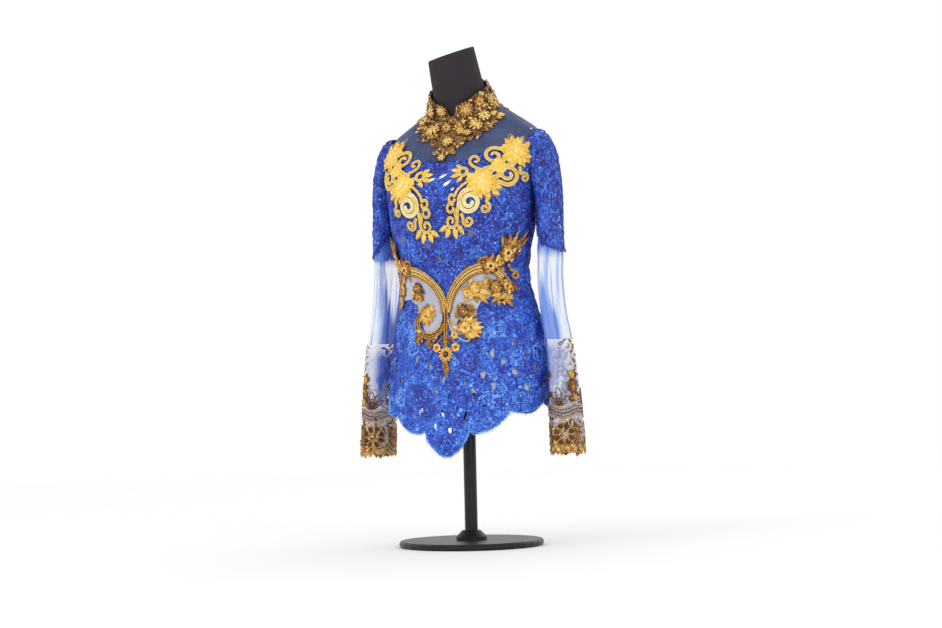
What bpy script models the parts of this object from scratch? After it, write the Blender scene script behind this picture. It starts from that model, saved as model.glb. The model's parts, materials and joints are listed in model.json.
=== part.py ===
"""Kebaya blouse on a limbless dress form.

A long-sleeved lace blouse: a blue lace bodice with a scalloped peplum, sheer yoke and forearms,
a gold lace stand collar, scroll appliques on the chest, a winged applique at the waist and lace
cuffs. It rests on a padded torso on a short pole. Metres, +Z up, the wearer faces -Y and the
wearer's left is +X. The origin is the centre of the base's underside.

Every layer is worked out from the torso's surface: a point is given by its angle round the body
from the centre front, its height above the waist and how far it lies off the torso.
"""
import math
from collections import namedtuple

import bmesh
import bpy
import numpy as np

# Driving dimensions.
WAIST_HEIGHT = 0.500
SEAM_GAP = 0.0003
CLOTH = 0.0012          # wall of the plain cloths
LACE = 0.0016           # wall of the lace
RELIEF = 0.0007         # how far lace flowers stand up from their ground
LINING_LIFT = 0.0010    # underside of the lining off the torso
LACE_LIFT = 0.0050      # underside of the lace and of the yoke off the torso
NET_LIFT = 0.0016       # clear height of the waist net over the lace
WINGS_LIFT = 0.0012     # of the waist applique over its net
CHEST_LIFT = 0.0010     # of the chest appliques over the lace
BIB_LIFT = 0.0012       # of the collar's bib over the yoke
ARMHOLE_X = 0.1413      # where the body panels stop at the armhole
ARMHOLE_FOOT = 0.120    # below this height, from the waist, the panels meet at the side
FORM_FOOT = -0.190      # underside of the torso, from the waist
LINING_FOOT = -0.187
LINING_TOP = 0.170
COLLAR_SEAM = 0.345
GIRTH_RADIUS = 0.125    # these turn a distance across the waist, chest, side seam or neck
CHEST_RADIUS = 0.135    # into an angle
SIDE_RADIUS = 0.120
NECK_RADIUS = 0.055
POLE_RADIUS = 0.0125
FLANGE_RADIUS = 0.030
FLANGE_THICK = 0.018
FLANGE_FOOT = 0.006     # upright part of the flange, below its slope
FLANGE_WALL = 0.005     # wall left at the flange's top
BASE_RADIUS = 0.140
BASE_THICK = 0.012
BASE_EDGE = 0.003       # bevel of the base's rims
HEM_ROUND = 0.7         # power that rounds the hem's lobes; 1 is a plain sine
NECKLINE_FRONT = {"up": 0.233, "rise": 0.045}   # at the centre, and how much more at the side
NECKLINE_BACK = {"up": 0.250, "rise": 0.028}
FLOWER_REPEAT = {"across": 0.030, "up": 0.036}  # half-drop repeat of the lace flowers
COLLAR_TOP = {"throat": 0.371, "rise": 0.012, "until": 55, "scallop": 0.0025, "scallops": 5}
THROAT = {"half": 0.02, "opens": 0.17}          # angle of the notch at its foot and its spread
COLLAR_BUMP = 0.0014
BIB_BUMP = 0.0016
BIB_TOP = COLLAR_SEAM - 0.003
BIB_NOTCH = 0.006       # how far the bib's edge rises between its leaves
BIB_HALF = 76           # degrees either side that the bib reaches round the neck

# Torso sections: half width and half depth, the section's middle, how far it tips forward, how
# far it leans to the wearer's right and how square it is (2 is an ellipse).
Section = namedtuple("Section", "up half_width half_depth middle tip lean square")
TORSO = (
    Section(-0.340, 0.1582, 0.1162, 0.006, 0, 0, 2.1),
    Section(-0.240, 0.1562, 0.1132, 0.006, 0, 0, 2.1),
    Section(-0.190, 0.1537, 0.1107, 0.007, 0, 0, 2.1),
    Section(-0.140, 0.1502, 0.1067, 0.010, 0, 0, 2.1),
    Section(-0.080, 0.1412, 0.1012, 0.013, 0, 0, 2.1),
    Section(-0.035, 0.1292, 0.0942, 0.012, 0, 0, 2.1),
    Section(0.000, 0.1217, 0.0902, 0.006, 0, 0, 2.1),
    Section(0.040, 0.1212, 0.0912, -0.006, 0, 0, 2.1),
    Section(0.080, 0.1272, 0.0972, -0.009, 0, 0, 2.2),
    Section(0.120, 0.1347, 0.1032, -0.007, 0, 0, 2.3),
    Section(0.160, 0.1387, 0.1062, -0.004, 0, 0, 2.4),
    Section(0.200, 0.1432, 0.1042, 0.002, 0, 0, 2.6),
    Section(0.240, 0.1467, 0.0982, 0.010, 2, 0, 2.8),
    Section(0.270, 0.1482, 0.0882, 0.018, 4, 0, 2.8),
    Section(0.290, 0.1462, 0.0772, 0.022, 6, 0, 2.6),
    Section(0.304, 0.1362, 0.0682, 0.023, 9, 0, 2.4),
    Section(0.318, 0.1172, 0.0612, 0.021, 13, 0, 2.2),
    Section(0.332, 0.0942, 0.0567, 0.016, 18, 0, 2.1),
    Section(0.346, 0.0722, 0.0542, 0.009, 23, 0, 2.0),
    Section(0.362, 0.0590, 0.0530, -0.001, 28, 0, 2.0),
    Section(0.385, 0.0510, 0.0500, -0.015, 31, 1, 2.0),
    Section(0.415, 0.0480, 0.0480, -0.032, 27, 5, 2.0),
    Section(0.450, 0.0455, 0.0465, -0.050, 18, 12, 2.0),
)
FORM_COLUMNS = 28
FORM_HEIGHTS = (
    FORM_FOOT, -0.145, -0.100, -0.055, -0.015, 0.025, 0.065, 0.105, 0.140, 0.170, 0.200,
    0.230, 0.262, 0.286, 0.304, 0.318, 0.332, 0.346, 0.362, 0.385, 0.415, 0.450,
)
BUST = {"out": 0.013, "angle": 0.52, "up": 0.170, "spread": 0.42, "rise": 0.050}

# Hem scallops from the centre front to the centre back: where each lobe starts and ends in
# degrees, the height of its ends and how far it drops below them. Steps are mesh columns.
Lobe = namedtuple("Lobe", "start end start_up end_up drop steps")
LOBES = (
    Lobe(-22, 22, -0.276, -0.276, 0.049, 6),
    Lobe(22, 55, -0.276, -0.240, 0.018, 4),
    Lobe(55, 90, -0.240, -0.207, 0.016, 4),
    Lobe(90, 124, -0.207, -0.222, 0.020, 3),
    Lobe(124, 158, -0.222, -0.228, 0.022, 3),
    Lobe(158, 202, -0.228, -0.228, 0.028, 6),
)

# Rings that close the neck's top and its cap: share of the neck's section, and depth below it.
Disc = namedtuple("Disc", "share sink")
NECK_RIM = (Disc(0.93, -0.0015), Disc(0.86, 0.0040))
CAP = {"share": 0.83, "foot_share": 0.80, "thick": 0.0022}

# Sections of the left sleeve: its outer and inner edge, half its depth from front to back, the
# middle of that depth and the height of its gathers.
Ring = namedtuple("Ring", "outer_x outer_up inner_x inner_up half_depth middle gather")
UPPER_SLEEVE = (
    Ring(0.1484, 0.3015, 0.1484, 0.1740, 0.0460, 0.012, 0),
    Ring(0.1610, 0.3000, 0.1486, 0.1680, 0.0490, 0.013, 0),
    Ring(0.1715, 0.2890, 0.1488, 0.1610, 0.0510, 0.014, 0),
    Ring(0.1800, 0.2710, 0.1490, 0.1540, 0.0520, 0.015, 0),
    Ring(0.1860, 0.2470, 0.1492, 0.1470, 0.0520, 0.015, 0),
    Ring(0.1900, 0.2170, 0.1494, 0.1390, 0.0520, 0.015, 0),
    Ring(0.1922, 0.1840, 0.1496, 0.1300, 0.0510, 0.015, 0),
    Ring(0.1934, 0.1500, 0.1497, 0.1180, 0.0500, 0.015, 0),
    Ring(0.1940, 0.1170, 0.1498, 0.1010, 0.0490, 0.014, 0),
    Ring(0.1942, 0.0790, 0.1498, 0.0770, 0.0475, 0.014, 0),
)
LOWER_SLEEVE = (
    Ring(0.1942, 0.0786, 0.1498, 0.0766, 0.0475, 0.014, 0.0004),
    Ring(0.1925, 0.0500, 0.1495, 0.0490, 0.0470, 0.013, 0.0018),
    Ring(0.1915, 0.0200, 0.1495, 0.0195, 0.0465, 0.012, 0.0024),
    Ring(0.1935, -0.0150, 0.1515, -0.0150, 0.0460, 0.011, 0.0026),
    Ring(0.1980, -0.0500, 0.1550, -0.0500, 0.0455, 0.010, 0.0024),
    Ring(0.2045, -0.0800, 0.1585, -0.0800, 0.0455, 0.010, 0.0014),
    Ring(0.2095, -0.1046, 0.1610, -0.1046, 0.0460, 0.010, 0.0004),
)
CUFF = (
    Ring(0.2095, -0.1050, 0.1610, -0.1050, 0.0460, 0.010, 0),
    Ring(0.2150, -0.1450, 0.1640, -0.1450, 0.0465, 0.010, 0),
    Ring(0.2195, -0.1900, 0.1658, -0.1900, 0.0475, 0.010, 0),
    Ring(0.2235, -0.2350, 0.1672, -0.2350, 0.0485, 0.010, 0),
    Ring(0.2265, -0.2800, 0.1682, -0.2800, 0.0495, 0.010, 0),
    Ring(0.2285, -0.3150, 0.1690, -0.3150, 0.0500, 0.010, 0),
)
BODY_ROWS = 18          # the same front and back, so that the side seams run together
YOKE_ROWS = 6
YOKE_COLUMNS = 17       # across the front; the collar's columns run on from the yoke's
YOKE_BACK_COLUMNS = 8
SLEEVE_COLUMNS = 18
GATHERS = 6             # soft folds round each sheer forearm
CUFF_SCALLOPS = 7
CUFF_SCALLOP_DEPTH = 0.007

# Chest applique, in millimetres from its middle flower: x outwards from the centre front, y up.
# A scroll runs from its root into a spiral, turning left where turns is positive.
Scroll = namedtuple("Scroll", "x y radius start turns width root_x root_y")
CHEST_SCROLLS = (
    Scroll(21, 59, 17, 60, 1.10, 6.0, 42, 74),
    Scroll(-16, 46, 12, 225, -0.95, 5.0, -9, 12),
    Scroll(42, 10, 19, 235, 1.35, 7.0, 12, -12),
    Scroll(70, 15, 9, 150, -1.15, 5.0, 54, 50),
    Scroll(-20, -36, 21, 75, 1.55, 7.5, 2, -12),
    Scroll(17, -44, 11, 60, -1.15, 5.0, 14, -16),
    Scroll(-38, 20, 9, 0, 0.85, 4.5, -16, 16),
    Scroll(-54, -40, 10, 30, 0.95, 5.0, -40, -32),
    Scroll(-59, -68, 10, 60, 0.95, 5.0, -44, -56),
    Scroll(-22, -69, 10, 150, 0.95, 5.0, -42, -60),
)
Bloom = namedtuple("Bloom", "x y radius petals")
CHEST_BLOOMS = (Bloom(0, 0, 27, 7), Bloom(50, 64, 23, 6))
Flame = namedtuple("Flame", "x y tip_x tip_y width")
CHEST_FLAMES = (
    Flame(44, 80, 48, 102, 12),
    Flame(58, 76, 68, 92, 12),
    Flame(62, 58, 74, 46, 12),
    Flame(-38, 26, -60, 31, 8),
    Flame(-38, 16, -62, 11, 8),
    Flame(-34, -74, -30, -94, 10),
    Flame(-43, -76, -48, -102, 10),
    Flame(-62, -74, -74, -94, 10),
)
Stem = namedtuple("Stem", "x y bend_x bend_y tip_x tip_y width")
CHEST_STEMS = (
    Stem(8, 16, 30, 34, 50, 52, 10),
    Stem(-8, -10, -37, -24, -44, -52, 6),
    Stem(-44, -50, -45, -64, -42, -80, 6),
)
CHEST_MIDDLE = {"angle": 36.5, "up": 0.1875, "lean": {1: -3, -1: 2}}

# Waist applique: the wing's upper edge from the stem outwards, in degrees and height.
Spot = namedtuple("Spot", "degrees up")
WING_EDGE = (
    Spot(1.5, -0.052), Spot(4, -0.030), Spot(8, -0.012), Spot(14, 0.004), Spot(22, 0.018),
    Spot(30, 0.027), Spot(39, 0.033), Spot(48, 0.034), Spot(55, 0.028), Spot(60, 0.017),
    Spot(63, 0.002), Spot(64, -0.014),
)
WING_FOOT = (
    Spot(4, -0.084), Spot(12, -0.094), Spot(22, -0.090), Spot(29, -0.068), Spot(35, -0.040),
    Spot(43, -0.027), Spot(52, -0.022), Spot(62, -0.028),
)
WING_BAND = 0.015       # width of the corded band along the wing
WAIST_TURN = -2.0       # degrees that the whole applique sits to the wearer's right
NET = 0.0010            # wall of the net inside the wings
CORD_HIGH = 0.0022      # height of a cord's ridge
CORD_STEP = 0.00006     # how much lower each next cord is, so that no two ridges run level
BLOOM_HIGH = 0.0030
BLOOM_DISH = 0.0005     # how far a flower's eye lies below its ring
PETAL = {"notch": 0.76, "ring": 0.55, "ring_notch": 0.40}   # shares of a flower's radius
SCROLL_SHRINK = 0.70    # share of its radius that a scroll loses on its way in
FLAME_SECTION = ((0, 0.9), (0.55, 1), (1, 0.16))            # along a leaf: place and width
LEAF_HIGH = 0.0014

# Centre of the waist applique, in metres from the waist: the stem's heights and widths, the
# medallion and the drop below it.
STEM_WIDTHS = {-0.040: 0.010, -0.090: 0.012, -0.128: 0.006}
DROP_WIDTHS = {-0.136: 0.010, -0.172: 0.003}
MEDALLION = {"up": -0.132, "radius": 0.015, "petals": 7}
NET_REACH = (5, 62)     # degrees from the stem that each net covers
NET_TUCK = 0.004        # how far the net's top lies below the wing's middle line

# The rest of the waist applique's left half, in millimetres from the waist at the centre front.
WAIST_BLOOMS = (
    Bloom(44, -78, 19, 6), Bloom(42, -50, 12, 5), Bloom(110, -5, 13, 5), Bloom(70, -8, 13, 5),
    Bloom(23, -119, 8, 4), Bloom(121, 48, 15, 5), Bloom(146, 62, 14, 5),
)
WAIST_FLAMES = (
    Flame(142, 70, 159, 106, 12), Flame(152, 66, 182, 105, 12), Flame(156, 60, 178, 80, 10),
    Flame(116, 58, 108, 82, 9), Flame(44, -90, 44, -110, 9), Flame(122, -24, 136, -42, 10),
    Flame(52, -82, 78, -98, 11),
)
WAIST_STEMS = (
    Stem(0, -84, 8, -104, 22, -118, 4),
    Stem(0, -58, 18, -56, 40, -50, 6),
    Stem(0, -74, 22, -80, 44, -78, 6),
    Stem(104, 32, 112, 40, 122, 50, 6),
    Stem(122, 50, 134, 54, 146, 62, 6),
    Stem(110, -6, 118, -14, 124, -26, 6),
    Stem(70, -8, 90, -8, 110, -5, 5),
    Stem(70, -8, 58, -28, 42, -50, 5),
    Stem(110, -4, 124, 4, 137, 4, 5),
)

# Lower edge of the gold lace bib that hangs from the collar.
BIB_EDGE = (
    Spot(0, 0.238), Spot(7, 0.250), Spot(14, 0.257), Spot(28, 0.274), Spot(40, 0.284),
    Spot(50, 0.300), Spot(62, 0.314), Spot(76, 0.329),
)


def smooth(rows, key, field, at):
    """One column of a table at the values `at` of its key, on a smooth curve."""
    keys = np.array([getattr(row, key) for row in rows], dtype=float)
    values = np.array([getattr(row, field) for row in rows], dtype=float)
    slopes = np.gradient(values, keys)
    k = np.clip(np.searchsorted(keys, at) - 1, 0, len(rows) - 2)
    step = keys[k + 1] - keys[k]
    t = np.clip((at - keys[k]) / step, 0, 1)
    start = (1 + 2 * t) * (1 - t) ** 2 * values[k] + t * (1 - t) ** 2 * step * slopes[k]
    end = t * t * (3 - 2 * t) * values[k + 1] + t * t * (t - 1) * step * slopes[k + 1]
    return start + end


def torso_point(angle, up):
    """Points of the torso's surface, as an array whose last axis is x, y, z."""
    angle, up = np.broadcast_arrays(np.asarray(angle, float), np.asarray(up, float))
    half_width = smooth(TORSO, "up", "half_width", up)
    half_depth = smooth(TORSO, "up", "half_depth", up)
    power = smooth(TORSO, "up", "square", up)
    across = np.abs(np.sin(angle) / half_width) ** power
    along = np.abs(np.cos(angle) / half_depth) ** power
    radius = (across + along) ** (-1.0 / power)
    for side in (-1, 1):
        swell = (angle - side * BUST["angle"]) / BUST["spread"]
        rise = (up - BUST["up"]) / BUST["rise"]
        radius = radius + BUST["out"] * np.exp(-swell**2 - rise**2)
    tip = np.radians(smooth(TORSO, "up", "tip", up))
    lean = np.radians(smooth(TORSO, "up", "lean", up))
    reach = radius * np.cos(angle)
    aside = radius * np.sin(angle)
    y = smooth(TORSO, "up", "middle", up) - reach * np.cos(tip)
    z = WAIST_HEIGHT + up - reach * np.sin(tip) + aside * np.sin(lean)
    return np.stack([aside * np.cos(lean), y, z], axis=-1)


def layer_point(angle, up, lift):
    """Points that lie `lift` off the torso, along its outward normal."""
    small = 1e-3
    up = np.clip(np.asarray(up, float), TORSO[0].up + small, TORSO[-1].up - small)
    round_way = torso_point(angle + small, up) - torso_point(angle - small, up)
    up_way = torso_point(angle, up + small) - torso_point(angle, up - small)
    normal = np.cross(round_way, up_way)
    normal /= np.linalg.norm(normal, axis=-1, keepdims=True)
    return torso_point(angle, up) + np.asarray(lift)[..., None] * normal


def armhole_angle(up, front):
    """Angle at which a body panel stops: at the armhole, or at the side where there is none."""
    if up < ARMHOLE_FOOT:
        return 0.5 * math.pi
    short = 0.15
    far = short if front else math.pi - short
    angles = np.linspace(0.5 * math.pi, far, 240)
    x = torso_point(angles, np.full_like(angles, up))[:, 0]
    if x[0] <= ARMHOLE_X:
        return 0.5 * math.pi
    return float(angles[np.argmax(x <= ARMHOLE_X)])


def hem_up(degrees):
    """Height of the scalloped hem at an angle round the body."""
    degrees = abs(degrees)
    lobe = next(row for row in LOBES if degrees <= row.end + 1e-6)
    t = (degrees - lobe.start) / (lobe.end - lobe.start)
    level = lobe.start_up + t * (lobe.end_up - lobe.start_up)
    return level - lobe.drop * max(0.0, math.sin(math.pi * t)) ** HEM_ROUND


def neckline_up(degrees):
    """Height at which the lace gives way to the sheer yoke."""
    turn = math.sin(math.radians(degrees)) ** 2
    edge = NECKLINE_FRONT if abs(degrees) <= 90 else NECKLINE_BACK
    return edge["up"] + edge["rise"] * turn


def body_columns(first, last):
    """Angles in degrees at which a panel's columns run, with the lobes' ends among them."""
    columns = set()
    for lobe in LOBES:
        stops = np.round(np.linspace(lobe.start, lobe.end, lobe.steps + 1), 4)
        columns |= set(stops) | set(-stops)
    return np.array([c for c in sorted(columns) if first <= c <= last])


def flower_relief(angle, up):
    """Relief of the lace, from 0 on its ground to 1 on its flowers, in a half-drop repeat."""
    across = GIRTH_RADIUS * np.asarray(angle) / FLOWER_REPEAT["across"]
    along = np.asarray(up) / FLOWER_REPEAT["up"]
    return (np.cos(math.pi * across) * np.cos(math.pi * along)) ** 2


def material(name, colour, roughness, metallic=0.0, alpha=1.0):
    """A Principled material."""
    made = bpy.data.materials.new(name)
    made.use_nodes = True
    shader = made.node_tree.nodes["Principled BSDF"]
    shader.inputs["Base Color"].default_value = (*colour, 1.0)
    shader.inputs["Roughness"].default_value = roughness
    shader.inputs["Metallic"].default_value = metallic
    shader.inputs["Alpha"].default_value = alpha
    return made


def add_object(name, vertices, faces, finish, crease=40):
    """A mesh object from points and faces, its faces turned outwards."""
    mesh = bpy.data.meshes.new(name)
    mesh.from_pydata([tuple(v) for v in vertices], [], faces)
    work = bmesh.new()
    work.from_mesh(mesh)
    bmesh.ops.recalc_face_normals(work, faces=work.faces)
    if work.calc_volume(signed=True) < 0:
        bmesh.ops.reverse_faces(work, faces=work.faces)
    bmesh.ops.triangulate(work, faces=work.faces)
    work.to_mesh(mesh)
    work.free()
    mesh.materials.append(finish)
    mesh.shade_smooth()
    mesh.set_sharp_from_angle(angle=math.radians(crease))
    made = bpy.data.objects.new(name, mesh)
    bpy.context.scene.collection.objects.link(made)
    return made


def cut_gap(vertices, faces, corners, inside, share):
    """A gap through one cell of a wall: a frame on each skin and four sides between them."""
    loops = []
    for shift in (0, inside):
        points = [np.asarray(vertices[c + shift]) for c in corners]
        middle = sum(points) / 4
        first = len(vertices)
        vertices.extend(middle + share * (p - middle) for p in points)
        loops.append([first + k for k in range(4)])
    for k in range(4):
        after = (k + 1) % 4
        a, b = corners[k], corners[after]
        c, d = loops[0][after], loops[0][k]
        e, f = loops[1][after], loops[1][k]
        faces.extend([(a, b, c), (a, c, d)])
        faces.extend([(a + inside, e, b + inside), (a + inside, f, e)])
        faces.extend([(d, c, e), (d, e, f)])


def wall(name, outer, inner, finish, closed=False, gaps=(), gap_share=0.5):
    """A thin wall between two grids of points, with rims, and with gaps cut in listed cells."""
    rows, columns = outer.shape[:2]
    vertices = list(outer.reshape(-1, 3)) + list(inner.reshape(-1, 3))
    inside = rows * columns
    faces = []

    def rim(first, second):
        faces.append((first, second, second + inside))
        faces.append((first, second + inside, first + inside))

    for i in range(rows - 1):
        for j in range(columns if closed else columns - 1):
            after = (j + 1) % columns
            a, b = i * columns + j, i * columns + after
            c, d = b + columns, a + columns
            if (i, j) in gaps:
                cut_gap(vertices, faces, (a, b, c, d), inside, gap_share)
                continue
            faces.extend([(a, b, c), (a, c, d)])
            faces.extend([(a + inside, c + inside, b + inside)])
            faces.extend([(a + inside, d + inside, c + inside)])
    for j in range(columns if closed else columns - 1):
        after = (j + 1) % columns
        rim(after, j)
        rim((rows - 1) * columns + j, (rows - 1) * columns + after)
    if not closed:
        for i in range(rows - 1):
            rim(i * columns, (i + 1) * columns)
            rim((i + 2) * columns - 1, (i + 1) * columns - 1)
    return add_object(name, vertices, faces, finish)


def panel_angles(degrees, up, front, side):
    """Angles of one row of a body panel, held half a seam inside its edges."""
    half_seam = 0.5 * SEAM_GAP / SIDE_RADIUS
    edge = np.array([armhole_angle(u, front) for u in up])
    if front:
        return np.radians(degrees) / (0.5 * math.pi) * (edge - half_seam)
    from_back = (math.pi - np.radians(degrees)) / (0.5 * math.pi)
    return side * (math.pi - half_seam - from_back * (math.pi - edge - 2 * half_seam))


def add_bodice(name, first, last, rows, side, finish, gap_rule):
    """A lace body panel from the neckline and armhole down to its scalloped hem."""
    degrees = body_columns(first, last)
    top = np.array([neckline_up(d) for d in degrees]) - 0.5 * SEAM_GAP
    low = np.array([hem_up(d) for d in degrees])
    outer = np.zeros((rows, len(degrees), 3))
    inner = np.zeros_like(outer)
    for i, t in enumerate(np.linspace(0, 1, rows)):
        up = top + t * (low - top)
        angle = panel_angles(degrees, up, first < 0, side)
        outer[i] = layer_point(angle, up, LACE_LIFT + LACE + RELIEF * flower_relief(angle, up))
        inner[i] = layer_point(angle, up, np.full_like(up, LACE_LIFT))
    cells = [(i, j) for i in range(rows - 1) for j in range(len(degrees) - 1)]
    gaps = {cell for cell in cells if gap_rule(*cell, rows - 1, len(degrees) - 1)}
    return wall(name, outer, inner, finish, gaps=gaps)


def add_yoke(name, first, last, columns, rows, side, finish):
    """A sheer panel from the lace up to the collar, with its shoulder seam on the ridge."""
    degrees = np.linspace(first, last, columns)
    low = np.array([neckline_up(d) for d in degrees]) + 0.5 * SEAM_GAP
    top = np.full_like(low, COLLAR_SEAM - 0.5 * SEAM_GAP)
    outer = np.zeros((rows, columns, 3))
    inner = np.zeros_like(outer)
    for i, t in enumerate(np.linspace(0, 1, rows)):
        up = low + t * (top - low)
        angle = panel_angles(degrees, up, first < 0, side)
        outer[i] = layer_point(angle, up, np.full_like(up, LACE_LIFT + CLOTH))
        inner[i] = layer_point(angle, up, np.full_like(up, LACE_LIFT))
    return wall(name, outer, inner, finish)


def add_lining(name, front, finish):
    """Half of the plain bodice that shows through the lace, from the bust to the hips."""
    half_seam = 0.5 * SEAM_GAP / SIDE_RADIUS
    quarter = 0.5 * math.pi
    angle = np.linspace(-quarter, quarter, FORM_COLUMNS // 2 + 1)
    angle = np.clip(angle, -quarter + half_seam, quarter - half_seam)
    heights = [LINING_FOOT] + [up for up in FORM_HEIGHTS if LINING_FOOT < up < LINING_TOP]
    angle, up = np.broadcast_arrays(angle[None, :], np.array(heights + [LINING_TOP])[:, None])
    if not front:
        angle = wrapped(angle + math.pi)
    outer = layer_point(angle, up, np.full_like(up, LINING_LIFT + CLOTH))
    inner = layer_point(angle, up, np.full_like(up, LINING_LIFT))
    return wall(name, outer, inner, finish)


def wrapped(angle):
    """Angles brought into the half turn either side of the centre front."""
    return (np.asarray(angle) + math.pi) % (2 * math.pi) - math.pi


def sleeve_grid(rings, side, wall_thick, columns, scallop=0.0):
    """Outer and inner points of a stretch of sleeve."""
    around = np.linspace(0, 2 * math.pi, columns, endpoint=False)
    outer = np.zeros((len(rings), columns, 3))
    inner = np.zeros_like(outer)
    for i, ring in enumerate(rings):
        across = np.array([ring.outer_x - ring.inner_x, ring.outer_up - ring.inner_up])
        half_width = 0.5 * np.linalg.norm(across)
        across /= 2 * half_width
        middle = (0.5 * (ring.outer_x + ring.inner_x), 0.5 * (ring.outer_up + ring.inner_up))
        drop = scallop * np.abs(np.sin(0.5 * CUFF_SCALLOPS * around)) * (i == len(rings) - 1)
        fold = ring.gather * np.cos(GATHERS * around)
        for grid, inset in ((outer, 0.0), (inner, wall_thick)):
            along = (half_width - inset + fold) * np.cos(around)
            depth = (ring.half_depth - inset + fold) * np.sin(around)
            grid[i, :, 0] = side * (middle[0] + along * across[0])
            grid[i, :, 1] = ring.middle + depth
            grid[i, :, 2] = WAIST_HEIGHT + middle[1] + along * across[1] - drop
    return outer, inner


def collar_top(degrees):
    """Height of the collar's upper edge, with a scallop for each lace flower."""
    rise = COLLAR_TOP["rise"] * min(1.0, degrees / COLLAR_TOP["until"])
    wave = abs(math.sin(math.radians(COLLAR_TOP["scallops"] * degrees)))
    return COLLAR_TOP["throat"] + rise + COLLAR_TOP["scallop"] * wave


def add_collar(name, side, finish):
    """Half of the stand collar, from the notch at the throat to the centre back."""
    rows = 4
    half_seam = 0.5 * SEAM_GAP / NECK_RADIUS
    front = np.radians(np.linspace(0, 90, YOKE_COLUMNS // 2 + 1))
    back = np.linspace(0.5 * math.pi, math.pi - half_seam, YOKE_BACK_COLUMNS)
    seam = np.concatenate([front, back[1:]])
    columns = len(seam)
    outer = np.zeros((rows, columns, 3))
    inner = np.zeros_like(outer)
    for i, t in enumerate(np.linspace(0, 1, rows)):
        angle = seam + t * np.where(seam < 0.3, 0.12, 0.0)   # the notch pushes these back
        angle[0] = THROAT["half"] + THROAT["opens"] * t
        top = np.array([collar_top(math.degrees(a)) for a in angle])
        low = COLLAR_SEAM + 0.5 * SEAM_GAP
        up = low + t * (top - low)
        bump = COLLAR_BUMP * (np.sin(5 * angle) * math.sin(math.pi * t)) ** 2
        outer[i] = layer_point(side * angle, up, LACE_LIFT + LACE + bump)
        inner[i] = layer_point(side * angle, up, np.full_like(up, LACE_LIFT))
    return wall(name, outer, inner, finish)


def add_bib(name, finish):
    """Gold lace that spreads from the collar over the yoke to a point."""
    columns, rows = 25, 5
    degrees = np.linspace(-BIB_HALF, BIB_HALF, columns)
    low = smooth(BIB_EDGE, "degrees", "up", np.abs(degrees))
    low = low + np.where(np.arange(columns) % 4 == 2, BIB_NOTCH, 0.0)
    base = LACE_LIFT + CLOTH + BIB_LIFT
    outer = np.zeros((rows, columns, 3))
    inner = np.zeros_like(outer)
    for i, t in enumerate(np.linspace(0, 1, rows)):
        up = low + t * (BIB_TOP - low)
        angle = np.radians(degrees)
        bump = BIB_BUMP * (np.sin(9 * angle) * math.sin(2 * math.pi * t + 0.6)) ** 2
        outer[i] = layer_point(angle, up, base + LACE + bump)
        inner[i] = layer_point(angle, up, np.full_like(up, base))
    return wall(name, outer, inner, finish)


# Across a cord or a band: half widths to the side and shares of the height.
CORD_SECTION = ((1, 0), (0, 1), (-1, 0))
BAND_SECTION = ((1, 0), (0.72, 1), (0, 0.5), (-0.72, 1), (-1, 0))


def flat_ribbon(points, widths, low, high, section=CORD_SECTION):
    """Points and faces of a cord or band laid flat along a path."""
    points = np.asarray(points, float)
    ahead = np.gradient(points, axis=0)
    ahead /= np.linalg.norm(ahead, axis=1, keepdims=True)
    left = np.stack([-ahead[:, 1], ahead[:, 0]], axis=1)
    count = len(section)
    vertices, faces = [], []
    for point, way, width in zip(points, left, widths):
        for share, height in section:
            x, y = point + share * 0.5 * width * way
            vertices.append((x, y, low + height * (high - low)))
    for k in range(len(points) - 1):
        for j in range(count):
            a, b = count * k + j, count * k + (j + 1) % count
            faces.append((a, b, b + count, a + count))
    last = count * (len(points) - 1)
    faces.append(tuple(reversed(range(count))))
    faces.append(tuple(range(last, last + count)))
    return vertices, faces


def flat_bloom(bloom, low, high):
    """Points and faces of a flower laid flat: pointed petals round a raised eye."""
    count = 2 * bloom.petals
    vertices = [(bloom.x, bloom.y, low)]
    rings = ((1.0, PETAL["notch"], low), (PETAL["ring"], PETAL["ring_notch"], high))
    for petal, notch, height in rings:
        for k in range(count):
            radius = bloom.radius * (petal if k % 2 == 0 else notch)
            turn = math.pi * k / bloom.petals
            vertices.append((bloom.x + radius * math.cos(turn),
                             bloom.y + radius * math.sin(turn), height))
    vertices.append((bloom.x, bloom.y, high - BLOOM_DISH))
    faces = []
    for k in range(count):
        after = (k + 1) % count
        a, b = 1 + k, 1 + after
        faces.append((0, b, a))
        faces.append((a, b, b + count, a + count))
        faces.append((a + count, b + count, len(vertices) - 1))
    return vertices, faces


def scroll_path(scroll):
    """Points of a scroll, from its root into the spiral."""
    steps = max(5, int(abs(scroll.turns) * 7))
    points = []
    for k in range(steps + 1):
        t = k / steps
        turn = math.radians(scroll.start + 360 * scroll.turns * t)
        radius = scroll.radius * (1 - SCROLL_SHRINK * t)
        points.append((scroll.x + radius * math.cos(turn), scroll.y + radius * math.sin(turn)))
    root = (scroll.root_x, scroll.root_y)
    return [root] + points


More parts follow.
